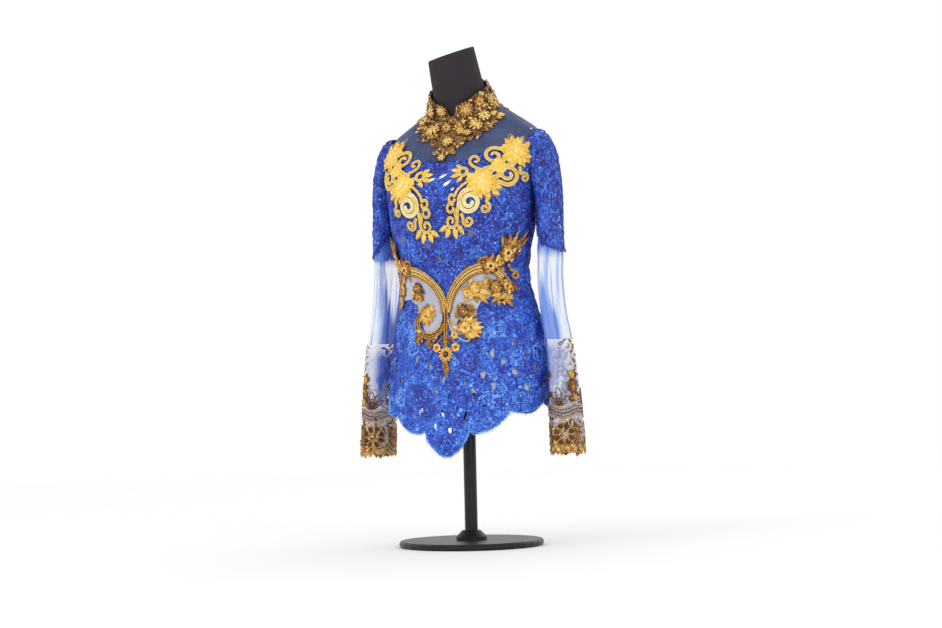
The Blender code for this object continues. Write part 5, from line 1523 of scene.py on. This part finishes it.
  # wearer's right wing: two hanging leaf groups, a flower with a curl and the banded scroll end
    work.at(middle, stretch, 0.0, -1)
    work.group(132, 4, ((235, 17, 9), (262, 22, 10), (290, 17, 9), (200, 13, 8)), 0.60, 2.6, 0.26)
    work.group(134, -14, ((240, 17, 9), (266, 28, 10), (295, 17, 9)), 0.64, 2.6, 0.26)
    work.group(78, 2, ((215, 17, 9), (244, 26, 11), (272, 32, 12), (300, 26, 11), (330, 16, 9)), 0.28, 2.8,
               0.62)
    work.group(78, -4, ((255, 18, 7), (285, 18, 7)), 0.60, 3, None)
    work.bloom(50, -58, 17, 9, (0.56, 0.78), 3, 2.6, 0.0008, 0.3, 0.5)
    work.bloom(78, 0, 12, 7, (0.16, 0.46), 2, 2.6, 0.0010, 0.3, 0.7)
    work.bloom(132, 0, 11, 7, (0.50, 0.76), 2, 2.6, 0.0010, 0.3, 0.2)
    work.group(54, -52, ((100, 16, 8), (130, 18, 9), (160, 20, 9), (185, 16, 8), (60, 13, 7)), 0.62, 2.6, 0.3)
    work.scroll(46, -64, 8, 30, 1.3, (52, -50), 3.6, wingTints, dots=fineDots)
    scroll = smoothPath(np.array([(5, -72), (12, -86), (26, -95), (44, -96), (60, -90), (71, -78), (73, -66),
                                  (66, -58)]) * mm)
    work.band(scroll, 0.0115, darkTints, cordThick=0.0012, dots=0.0042, taper=0.62)
    work.cord(sideways(scroll, 0.0068), 0.0006, 0.84, 0.0004)
    work.group(66, -92, ((200, 14, 8), (235, 16, 8), (262, 18, 9), (290, 14, 8)), 0.36, 2.6, 0.62)
    work.group(36, -101, ((240, 13, 7), (268, 16, 8), (300, 12, 7)), 0.30, 2.6, 0.60)
    looseLeaves(work, ((122, -8), (140, -8), (70, -16), (88, -14), (84, 10), (64, -44), (40, -48), (62, -66),
                       (40, -74), (126, 14), (146, 10), (28, -60), (70, -84), (52, -104), (24, -104)),
                (0.80, 0.14, 0.60))
  # the stem, florets, daisy and tail
    work.at(middle, stretch, 0.0, 1)
    work.strip([(0, -46), (1, -66), (1, -90), (2, -118)], 8.8, {**darkTints, "dot": 0.42}, cordThick=0.0011,
               dots=0.0034, taper=0.55)
    work.group(2, -96, ((236, 15, 7), (304, 15, 7), (250, 11, 6), (290, 11, 6)), 0.22, 2.6, 0.56)
    for x in (-19, 25):
        work.bloom(x, -119, 8.5, 6, (0.74, 0.62), 1, 1.8, 0.0004, 0.4, 0.24)
        work.line([(2, -98), (0.6 * x, -104), (x, -112)], 0.8, 0.55, 0.0003)
    for k in range(13):
        aim = 2 * pi * k / 13
        x, y = cos(aim), sin(aim)
        work.mark("leaf", (3 + 5 * x) * mm, (-132 + 5 * y) * mm, aim, (0.0115, 0.0066, 0.0028),
                  0.62 + 0.08 * (k % 2), 0.0006)
        work.mark("knot", (3 + 4.6 * x) * mm, (-132 + 4.6 * y) * mm, aim, (0.0011, 0.0011, 0.0012), 0.10,
                  0.0016)
    work.knot(3, -132, 3.4, 2.2, 0.34, 0.0008)
    for k, (dx, dy, towards, length) in enumerate(((0, -147, 240, 13), (0, -147, 300, 13), (1, -150, 262, 17),
                                                   (3, -150, 282, 17), (3, -160, 272, 16))):
        work.leaf(3 + dx, dy, towards, length, 7, 2.4, 0.34 + 0.1 * (k % 2), 0.0004, 0.60)
    return wearOn(work.sew("waistApplique", looks["laceThread"]), "bronze_cord", "waist_applique")


waistApplique()

print("stage: lace flowers and sequins")


def laceThreadPaint(name):  # darker over the body, brighter on the peplum: partly the dark form showing through, partly painted shade
    paint = Paint(name, {"Specular IOR Level": 0.5, "Metallic": 0.0})
    where = paint.place()
    fine = paint.noise(where, 1300.0, 2.0, 0.6)
    cloud = paint.noise(where, 38.0, 3.0, 0.6)
    beads = paint.cells(where, 330.0, flat=False)
    # the height term darkens the lace over the body: partly the dark form showing through, partly painted
    # shade
    tone = (paint.attribute("tint") * 0.74 + (cloud - 0.5) * 0.90 + (fine - 0.5) * 0.34 + (0.40 - beads)
            * 0.62
            + paint.between(paint.part(where, 2), 0.60, 0.36) * 0.34 - 0.10)
    colour = paint.ramp(tone, (0.04, blues["deep"]), (0.28, blues["dark"]), (0.56, blues["mid"]),
                        (0.84, blues["light"]), (1.0, linear(150, 196, 255)))
    height = fine * 0.5 + paint.cells(where, 800.0, flat=False) * 0.6
    return paint.feed(Base_Color=colour, Roughness=0.45 + fine * 0.3, Normal=paint.bump(height, 0.0004, 0.8))


def sequinPaint():
    paint = Paint("blue sequins", {"Metallic": 0.35, "Specular IOR Level": 0.8, "Coat Weight": 0.6,
                                   "Coat Roughness": 0.08})
    # painted highlight: sequins with a high tint are coloured near-white as glints
    glintShare = paint.attribute("tint")
    colour = paint.mix(paint.between(glintShare, 0.35, 0.85), linear(70, 128, 240), linear(214, 232, 255))
    return paint.feed(Base_Color=colour, Roughness=0.30 - glintShare * 0.12)


looks["laceBlue"] = laceThreadPaint("blue lace thread")
looks["sequin"] = sequinPaint()
strewn = [  # stamp, spacing, smallest, largest, height share, seed
    ("rosette", 0.0130, 0.0032, 0.0056, 0.34, 3), ("curl", 0.0082, 0.0036, 0.0066, 0.26, 5),
    ("leaf", 0.0088, 0.0052, 0.0092, 0.30, 7), ("arcs", 0.0200, 0.0060, 0.0096, 0.14, 9)]
bigFlowers = ("arcs", 0.0250, 0.0120, 0.0210, 0.075, 13)
sequinCut = ("sequin", 0.0082, 0.0008, 0.0014, 0.35, 17)


def strew(sheet, name, row, finish, mask="cover", shift=0):
    kind, spacing, small, large, high, seed = row
    host = linked(name, sheet.data.copy())
    if mask != "cover":
        values = np.empty(len(host.data.vertices), dtype=np.float32)
        host.data.attributes[mask].data.foreach_get("value", values)
        host.data.attributes["cover"].data.foreach_set("value", values)
    return runTree(host, strewing, Stamp=stamps[kind], Spacing=spacing, Density=2.2 / spacing**2, Small=small,
                   Large=large, High=high, Seed=seed + shift, Finish=finish)


def laceOver(sheet, name, big=True, shift=0):
    blue = looks["laceBlue"]
    parts = [strew(sheet, f"{name}{row[0].capitalize()}", row, blue, shift=shift) for row in strewn]
    if big:
        parts.append(strew(sheet, name + "Arcs", bigFlowers, blue, "skirt", shift))
    lace = wearOn(joinParts(name, parts), "blue_lace")
    sequins = strew(sheet, name + "Sequins", sequinCut, looks["sequin"], shift=shift)
    return lace, wearOn(sequins, "blue_lace")


laceShifts = {"front": 0, "backL": 50, "backR": 90, "Left": 130, "Right": 170}
overlace = {}
for key, (place, hand, *_) in panels.items():
    overlace[key] = laceOver(bodice[key], f"{place}Lace{hand}", shift=laceShifts[key])
for tag in hands:
    overlace[tag] = laceOver(sleeves[tag]["upper"], "sleeveLace" + tag, False, laceShifts[tag])


hemCut = {"lift": 0.0014, "cords": ((0.0014, 0.00125, 0.86), (0.0052, 0.0009, 0.70), (0.0086, 0.0007, 0.55)),
          "lash": 0.0055,
          "every": 0.0017, "sprigs": 64, "radius": 0.145}


onLace = onTorso(lifts["lace"] + hemCut["lift"])


def hemWork(place, hand, first, last, side):
    work = Needlework(onLace)
    degrees = np.linspace(first, last, int(abs(last - first) * 1.9))
    ups = np.array([hemUp(d) for d in degrees])
    angles = panelAngles(degrees, ups, first < 0, side)
    for rise, thick, tint in hemCut["cords"]:
        wave = 0.0008 * np.sin(np.arange(len(degrees)) * (1.1 if thick < 0.001 else 0.35))
        work.cord(np.stack([angles, ups + rise + wave], -1), thick, tint)
    draw = random.Random(21 + int(first) + side)
    length = alongPath(np.stack([hemCut["radius"] * angles, ups], -1))
    for at in np.arange(0.001, length[-1], hemCut["every"]):
        x, y = np.interp(at, length, angles), np.interp(at, length, ups)
        aim = radians(-90 + draw.uniform(-34, 34))
        work.mark("leaf", x, y + 0.0012, aim, (hemCut["lash"] * draw.uniform(0.6, 1.2), 0.0008, 0.0006),
                  draw.uniform(0.3, 0.9))
    for at in np.arange(0.004, length[-1], 0.0065):  # small scallops that carry the border
        x, y = np.interp(at, length, angles), np.interp(at, length, ups)
        work.mark("curl", x, y + 0.0090, draw.uniform(0, 6.2), (0.0036, 0.0036, 0.0012),
                  draw.uniform(0.4, 0.9))
    if first < 0:  # sprigs that climb from the neckline over the yoke
        for k in range(hemCut["sprigs"]):
            at = -84 + 168 * (k + draw.uniform(-0.3, 0.3)) / (hemCut["sprigs"] - 1)
            base = necklineUp(at) + draw.uniform(-0.004, 0.001)
            angle = float(panelAngles(np.array([at]), np.array([base]), True, 1)[0])
            kind = draw.choice(("leaf", "leaf", "rosette", "curl"))
            size = draw.uniform(0.006, 0.0105) if kind == "leaf" else draw.uniform(0.0036, 0.0052)
            flat = (size, 0.5 * size, 0.0016) if kind == "leaf" else (size, size, 0.0014)
            work.mark(kind, angle, base, radians(90 + draw.uniform(-65, 65)), flat, draw.uniform(0.2, 0.95),
                      0.0004)
    return wearOn(work.sew(f"{place}Hem{hand}", looks["laceBlue"]), "blue_lace")


def gapRims(place, hand, first, last, side):  # corded edges round the openings of the lace
    work = Needlework(onLace)
    for spots, shade in gapOutlines(first < 0):
        low = np.array([hemUp(d) for d in spots[:, 0]])
        top = np.array([necklineUp(d) for d in spots[:, 0]])
        ups = top + spots[:, 1] * (low - top)
        work.cord(np.stack([panelAngles(spots[:, 0], ups, first < 0, side), ups], -1), 0.0007, shade)
    return wearOn(work.sew(f"{place}GapRims{hand}", looks["laceBlue"]), "blue_lace")


rims = {key: gapRims(*row) for key, row in panels.items()}
hems = {key: hemWork(*row) for key, row in panels.items()}

armCut = {"length": 0.21, "every": 0.0026, "radius": 0.045}


def sleeveEnd(tag, side):  # what trims the ragged end of the sleeve's lace
    def wear(x, y, lift):
        turn = -0.5 * pi + side * np.asarray(x)
        share = np.clip(-np.asarray(y) / armCut["length"], 0, 1)
        return sleevePoint(upperRings, side, share, turn, upperInset(turn, share) - 0.0010 - np.asarray(lift))
    work = Needlework(wear)
    draw = random.Random(41 + side)
    around = np.linspace(0, 2 * pi, 160)
    ends = -armCut["length"] * laceEnd(-0.5 * pi + side * around)
    work.rounds(around, ends, ((0.0008, 0.0010, 0.7), (0.0046, 0.0007, 0.5)))
    for x in np.arange(0, 2 * pi, armCut["every"] / armCut["radius"]):
        y = float(np.interp(x, around, ends))
        if draw.random() < 0.6:
            work.mark("leaf", x, y + 0.002, radians(-90 + draw.uniform(-50, 50)),
                      (draw.uniform(0.004, 0.0085), 0.0034, 0.0014),
                      draw.uniform(0.1, 0.9))
        if draw.random() < 0.4:
            size = draw.uniform(0.003, 0.005)
            work.mark("curl", x, y + draw.uniform(-0.002, 0.004), draw.uniform(0, 6.2), (size, size, 0.0013),
                      draw.uniform(0.3, 0.9))
    return wearOn(work.sew(f"sleeveEnd{tag}", looks["laceBlue"]), "blue_lace")


sleeveEnds = {tag: sleeveEnd(tag, side) for tag, side in hands.items()}


def satinSlits():  # pale satin leaves between the two chest appliques
    work = Needlework(onTorso(lifts["lace"] + 0.0030))
    for angle, up, towards, length, width in ((-14, 0.196, 22, 17, 7), (-3, 0.201, 28, 20, 6),
                                              (3, 0.186, 32, 19, 8), (12, 0.176, 40, 9, 5)):
        work.spot(angle, up)
        work.leaf(0, 0, towards, length, width, 1, 0.95)
    return wearOn(work.sew("satinSlits", looks["satin"]), "blue_lace")


looks["satin"] = clothPaint("pale satin", linear(206, 218, 240), linear(250, 252, 255), 0.30, 600.0, 0.0001)
satinSlits()

print("stage: collar flowers")
collarWork = {"ground": 0.0084, "bibGround": 0.0108, "yokeGround": 0.0058, "seed": 8}


def collarLift(angle, up):  # over the collar, over the bib, or down on the yoke beside it
    t = np.clip((0.352 - np.asarray(up)) / 0.010, 0, 1)
    beside = np.clip((np.abs(angle) - radians(72)) / 0.12, 0, 1) * t
    ground = collarWork["ground"] + (collarWork["bibGround"] - collarWork["ground"]) * t * t * (3 - 2 * t)
    return ground + (collarWork["yokeGround"] - ground) * beside


collarBlooms = [  # degrees, height, radius in mm, petals, outer, inner and eye shade
    (29, 0.366, 14.5, 13, 0.34, 0.60, 0.85), (85, 0.360, 15, 10, 0.50, 0.66, 0.30),
    (38.5, 0.322, 13, 9, 0.46, 0.66, 0.92), (-1.5, 0.279, 12, 9, 0.46, 0.62, 0.95),
    (-20, 0.368, 11, 9, 0.44, 0.62, 0.90), (-34, 0.311, 14, 9, 0.50, 0.70, 0.92),
    (54, 0.341, 11, 8, 0.66, 0.70, 0.55), (57, 0.372, 11, 9, 0.30, 0.52, 0.5),
    (112, 0.368, 12, 9, 0.40, 0.60, 0.6), (-50, 0.362, 12, 9, 0.44, 0.62, 0.8),
    (-80, 0.366, 12, 9, 0.36, 0.58, 0.6), (-58, 0.336, 11, 8, 0.48, 0.64, 0.6),
    (14, 0.305, 10, 8, 0.38, 0.60, 0.8), (24, 0.297, 9, 8, 0.52, 0.70, 0.6),
    (-12, 0.322, 10, 8, 0.30, 0.50, 0.4), (2, 0.348, 8, 8, 0.12, 0.26, 0.3),
    (10, 0.330, 9, 8, 0.26, 0.50, 0.5), (-24, 0.292, 9, 8, 0.18, 0.40, 0.3),
    (140, 0.366, 12, 9, 0.42, 0.60, 0.6), (168, 0.366, 12, 9, 0.40, 0.58, 0.6),
    (-112, 0.366, 12, 9, 0.42, 0.6, 0.6), (-140, 0.366, 12, 9, 0.40, 0.60, 0.6),
    (-168, 0.366, 12, 9, 0.42, 0.58, 0.6), (-3, 0.243, 7.5, 7, 0.56, 0.70, 0.8)]
collarLeaves = [  # degrees, height, direction, length and width in mm, shade
    (41, 0.309, -38, 17, 10, 0.16), (-36, 0.297, 222, 18, 10, 0.18), (-50, 0.325, 205, 20, 8, 0.66),
    (-62, 0.338, 205, 18, 9, 0.62), (98, 0.340, -20, 20, 10, 0.72), (112, 0.344, -28, 15, 9, 0.66),
    (62, 0.338, 12, 15, 13, 0.74), (68, 0.334, -14, 16, 13, 0.76), (66, 0.332, -60, 12, 10, 0.70),
    (-12, 0.276, 222, 15, 9, 0.18), (-20, 0.286, 240, 13, 8, 0.24), (8, 0.276, -62, 13, 8, 0.50),
    (32, 0.302, -60, 13, 8, 0.34), (20, 0.286, -70, 12, 8, 0.44), (-3, 0.262, 268, 16, 5, 0.60),
    (-30, 0.300, 262, 12, 8, 0.40)]


def collarFlowers():
    work = Needlework(lambda x, y, lift: lifted(x, y, collarLift(x, y) + np.asarray(lift)))
    draw = random.Random(collarWork["seed"])
    for k, (angle, up, radius, petals, outer, inner, eye) in enumerate(collarBlooms):
        work.spot(angle, up)
        work.bloom(0, 0, 1.1 * radius, petals, (outer + 0.24, inner + 0.24), 3 if radius > 12 else 2, 3,
                   0.0008 + 0.0003 * (k % 3), 0.3 * k, 0.86 * eye, 0.02)
    for k, (angle, up, towards, length, width, tint) in enumerate(collarLeaves):
        work.spot(angle, up)
        work.leaf(0, 0, towards, length, width, 2.4, tint, 0.0006, 0.10 if tint > 0.4 else 0.56)
    for angle, turns, start, x in ((-6, -1.1, 60, -5), (2, 1.1, 120, 6)):  # tendrils of the lowest flower
        work.spot(angle, 0.252)
        work.scroll(2.2 * x, 2, 5.2, start, turns, (0, -2), 3,
                    {"fill": 0.40, "cord": 0.62, "line": None, "dot": 0.2}, dots=0.0026)
    for k in range(330):  # small leaves that fill the ground between the flowers
        angle = draw.uniform(-178, 178)
        top = float(collarTop(abs(angle))) - 0.001
        if k % 3 and abs(angle) > 90:
            angle *= 0.5
        bibLow = float(through(*bibEdge.T, abs(angle))) + 0.004
        up = draw.uniform(0.350 if abs(angle) > 74 else bibLow, top)
        if abs(angle) < 11 - 40 * (0.371 - up) and up > 0.352:
            continue  # the throat's notch stays open
        work.spot(angle, up)
        length = draw.uniform(6.5, 10.5)
        work.leaf(0, 0, draw.uniform(0, 360), length, 0.52 * length, 2.2,
                  draw.choice((0.06, 0.34, 0.62, 0.80, 0.95)), 0.0006)
    for k in range(44):  # a ragged row of petals along the collar's top
        angle = -176 + 352 * k / 43
        if abs(angle) < 13:
            continue
        work.spot(angle, float(collarTop(abs(angle))) - 0.006)
        work.leaf(0, 0, 90 + draw.uniform(-35, 35), draw.uniform(8, 12), 6, 2.4, draw.uniform(0.2, 0.75),
                  0.0004, 0.12)
    return wearOn(work.sew("collarFlowers", looks["laceThread"]), "gold_lace")


collarPiece = collarFlowers()


def shoulderBead():
    work = Needlework(onLace)
    work.spot(82, 0.300)
    work.knot(0, 0, 2.2, 2.6, 0.9)
    return wearOn(work.sew("shoulderBead", looks["bead"]), "blue_lace")


bead = shoulderBead()

print("stage: cuff lace")
cuffCut = {"length": 0.215, "ground": 0.0014, "medallions": (20, 140, 260), "between": (80, 200, 320),
           "band": -0.136,
           "bandCords": ((0.0085, 0.0011, 0.56), (0.0052, 0.0008, 0.20), (-0.0052, 0.0008, 0.20),
                         (-0.0085, 0.0011, 0.56))}


def cuffWear(side):
    def wear(x, y, lift):
        turn = -0.5 * pi + side * np.asarray(x)
        share = np.clip(-np.asarray(y) / cuffCut["length"], 0, 1.0)
        low = np.minimum(0, np.asarray(y) + cuffCut["length"])
        points = sleevePoint(cuffRings, side, share, turn, -(cuffCut["ground"] - 0.0008) - np.asarray(lift))
        points[..., 2] += low  # past the edge the lace hangs straight down
        return points
    return wear


def cuffMedallion(work, x, y):
    work.spot(x, y)
    turn = np.linspace(0, 2 * pi, 16)
    ring = list(zip(15.5 + 7.2 * np.cos(turn), 5.8 * np.sin(turn)))
    for k in range(8):
        aim = 2 * pi * (k + 0.5) / 8
        leafAim = aim + 0.39
        work.mark("petal", 9 * mm * cos(aim), 9 * mm * sin(aim), aim, (0.0120, 0.0096, 0.0020),
                  0.10 + 0.05 * (k % 2), 0.0004)
        work.cord(np.array(turnedBy(ring, aim)) * mm, 0.0007, 0.60, 0.0006)
        work.mark("leaf", 20 * mm * cos(leafAim), 20 * mm * sin(leafAim), leafAim,
                  (0.0060, 0.0040, 0.0016), 0.66, 0.0004)
    turn = np.linspace(0, 2 * pi, 26)
    work.cord(np.stack([8.6 * mm * np.cos(turn), 8.0 * mm * np.sin(turn)], -1), 0.0009, 0.62, 0.0008)
    for k in range(9):
        reach, aim = 6.4 * math.sqrt(k / 9), 2.4 * k
        work.knot(reach * cos(aim), reach * sin(aim), 1.1, 0.8, 1.0, 0.0008)


def bandUp(x):  # the height of the band's middle, which sags between the medallions
    return cuffCut["band"] - 0.004 * np.cos(3 * (x - radians(20)))


def cuffEdge(turn):  # the height of the scalloped edge
    return -cuffCut["length"] - sleeveCut["scallopDrop"] * np.abs(np.sin(0.5 * sleeveCut["scallops"] * turn))


def cuffLace(tag, side):
    work = Needlework(cuffWear(side))
    draw = random.Random(31 + side)
    around = np.linspace(0, 2 * pi, 150)
    work.at((0.0, 0.0), (1.0, 1.0))
    work.rounds(around, bandUp(around), cuffCut["bandCords"], 0.0003)
    for k in range(66):  # brown blocks between the two pairs of cords
        x = 2 * pi * k / 66
        work.mark("knot", x, bandUp(x), 0, (0.0013, 0.0030, 0.0013), 0.10 if k % 2 else 0.40, 0.0003)
    for x in cuffCut["medallions"]:
        cuffMedallion(work, x, -0.180)
        work.spot(x - 6, -0.126)
        for k, (towards, length, width) in enumerate(((96, 34, 11), (120, 29, 10), (144, 22, 9), (70, 30, 10),
                                                      (46, 24, 9))):
            aim = radians(towards)  # looped feathers that rise from the band
            for inner, thick in ((1.0, 0.0008), (0.62, 0.0005)):
                turn = np.linspace(0, 2 * pi, 22)
                loop = zip(length * inner * (0.5 - 0.5 * np.cos(turn)), width * 0.5 * inner * np.sin(turn))
                work.cord(np.array(turnedBy(loop, aim)) * mm, thick, 0.16 + 0.10 * (k % 2), 0.0003)
    for x in cuffCut["between"]:
        outside = cos(-0.5 * pi + side * radians(x)) > -0.5
        x = x - 12 * side if outside else x
        for up, radius, tint in ((-0.168, 10, 0.14), (-0.190, 10, 0.20), (-0.092, 14, 0.12),
                                 (-0.112, 9, 0.46), (-0.070, 9, 0.50))[:5 if outside else 2]:
            work.spot(x + draw.uniform(-6, 6), up)
            work.bloom(0, 0, radius, 8, (tint, tint + 0.22), 2, 2.2, 0.0004, draw.uniform(0, 3), 0.62)
            for k in range(5):
                work.leaf(0, 0, draw.uniform(0, 360), radius + 6, 7, 1.8, draw.choice((0.14, 0.3, 0.6)),
                          0.0002, 0.52)
        work.spot(x, -0.130)
        for x2, y2, radius, start, turns in ((-10, 16, 7, 0, 1.1), (9, 24, 6, 180, -1.1),
                                             (-6, 48, 7, 40, 1.1), (8, 62, 6, 120, -1.1)):
            work.scroll(x2, y2, radius, start, turns, None, 3,
                        {"fill": 0.3, "cord": 0.2, "line": None, "dot": 0.6})
        for k in range(34 if outside else 0):  # the floral border that climbs to the cuff's top
            work.spot(x + side * (14 + 9 * sin(k * 1.9)), -0.122 + 0.0036 * k)
            work.leaf(0, 0, 90 + (60 if k % 2 else -60) + draw.uniform(-25, 25), 11, 5.5, 2.2,
                      (0.10, 0.40, 0.18, 0.62)[k % 4], 0.0003)
    for k in range(170):  # brown and gold sprigs below the band
        x, y = radians(360 * k / 170 + draw.uniform(-3, 3)), draw.uniform(-0.206, -0.148)
        work.at((x, y))
        work.leaf(0, 0, draw.uniform(0, 360), draw.uniform(7, 11), 5.5, 1.8,
                  draw.choice((0.04, 0.14, 0.4, 0.66, 0.84)), 0.0001)
    for k in range(120):  # mottled gold leaves of the scalloped edge
        x = 2 * pi * (k + draw.uniform(-0.4, 0.4)) / 120
        edge = cuffEdge(-0.5 * pi + side * x)
        for rise in (0.001, 0.009):
            work.at((x, edge + rise + draw.uniform(0, 0.004)))
            work.leaf(0, 0, draw.uniform(215, 325) if rise < 0.005 else draw.uniform(0, 360),
                      draw.uniform(6.5, 9.5), 5.2, 2, draw.choice((0.16, 0.40, 0.56, 0.7, 0.8)), 0.0002)
    work.at((0.0, 0.0), (1.0, 1.0))
    edge = cuffEdge(-0.5 * pi + side * around)
    work.rounds(around, edge, ((0.0008, 0.0011, 0.52), (0.0150, 0.0009, 0.34)), 0.0002)
    return wearOn(work.sew(f"cuffLace{tag}", looks["laceThread"]), "brown_lace")


cuffs = {tag: cuffLace(tag, side) for tag, side in hands.items()}

print("stage: flat sizes of the cloth")
clothCuts = [  # piece, width, length, area, how held, on what, with what on it
    (bodice["front"], 0.47, 0.57, 0.218, "draped", (liningFront, form),
     (*overlace["front"], rims["front"], hems["front"])),
    *((bodice[k], 0.24, 0.53, 0.1045, "draped", (liningBack, form), (*overlace[k], rims[k], hems[k]))
      for k in ("backL", "backR")),
    (yoke["front"], 0.32, 0.15, 0.0362, "stretched", (form, bodice["front"]), (bead,)),
    *((yoke[k], 0.17, 0.15, 0.0199, "stretched", (form, bodice[k]), ()) for k in ("backL", "backR")),
    *((made, 0.40, 0.376, 0.146, "stretched", (form,), ()) for made in (liningFront, liningBack)),
    *((made, 0.19, 0.055, 0.009, "stretched", (yoke["front"], form), ()) for made in collars),
    (bib, 0.20, 0.11, 0.0104, "laid", (yoke["front"],), (collarPiece,)),
    *((net, 0.125, 0.11, 0.008, "laid", (bodice["front"],), ()) for net in wingNets.values())]
for tag, parts in sleeves.items():
    clothCuts += [
        (parts["upper"], 0.25, 0.235, 0.0395, "hung", (yoke["front"],), (*overlace[tag], sleeveEnds[tag])),
        (parts["lower"], 0.27, 0.235, 0.057, "gathered", (parts["upper"],), ()),
        (parts["cuff"], 0.25, 0.222, 0.051, "hung", (parts["lower"],), (cuffs[tag],))]
for made, width, length, area, held, carriedBy, onIt in clothCuts:
    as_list(carriedBy)
    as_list(onIt)

for gauge in [o for o in bpy.data.objects if o.get("gauge")]:  # the shapes that the trees copied from
    bpy.data.objects.remove(gauge)
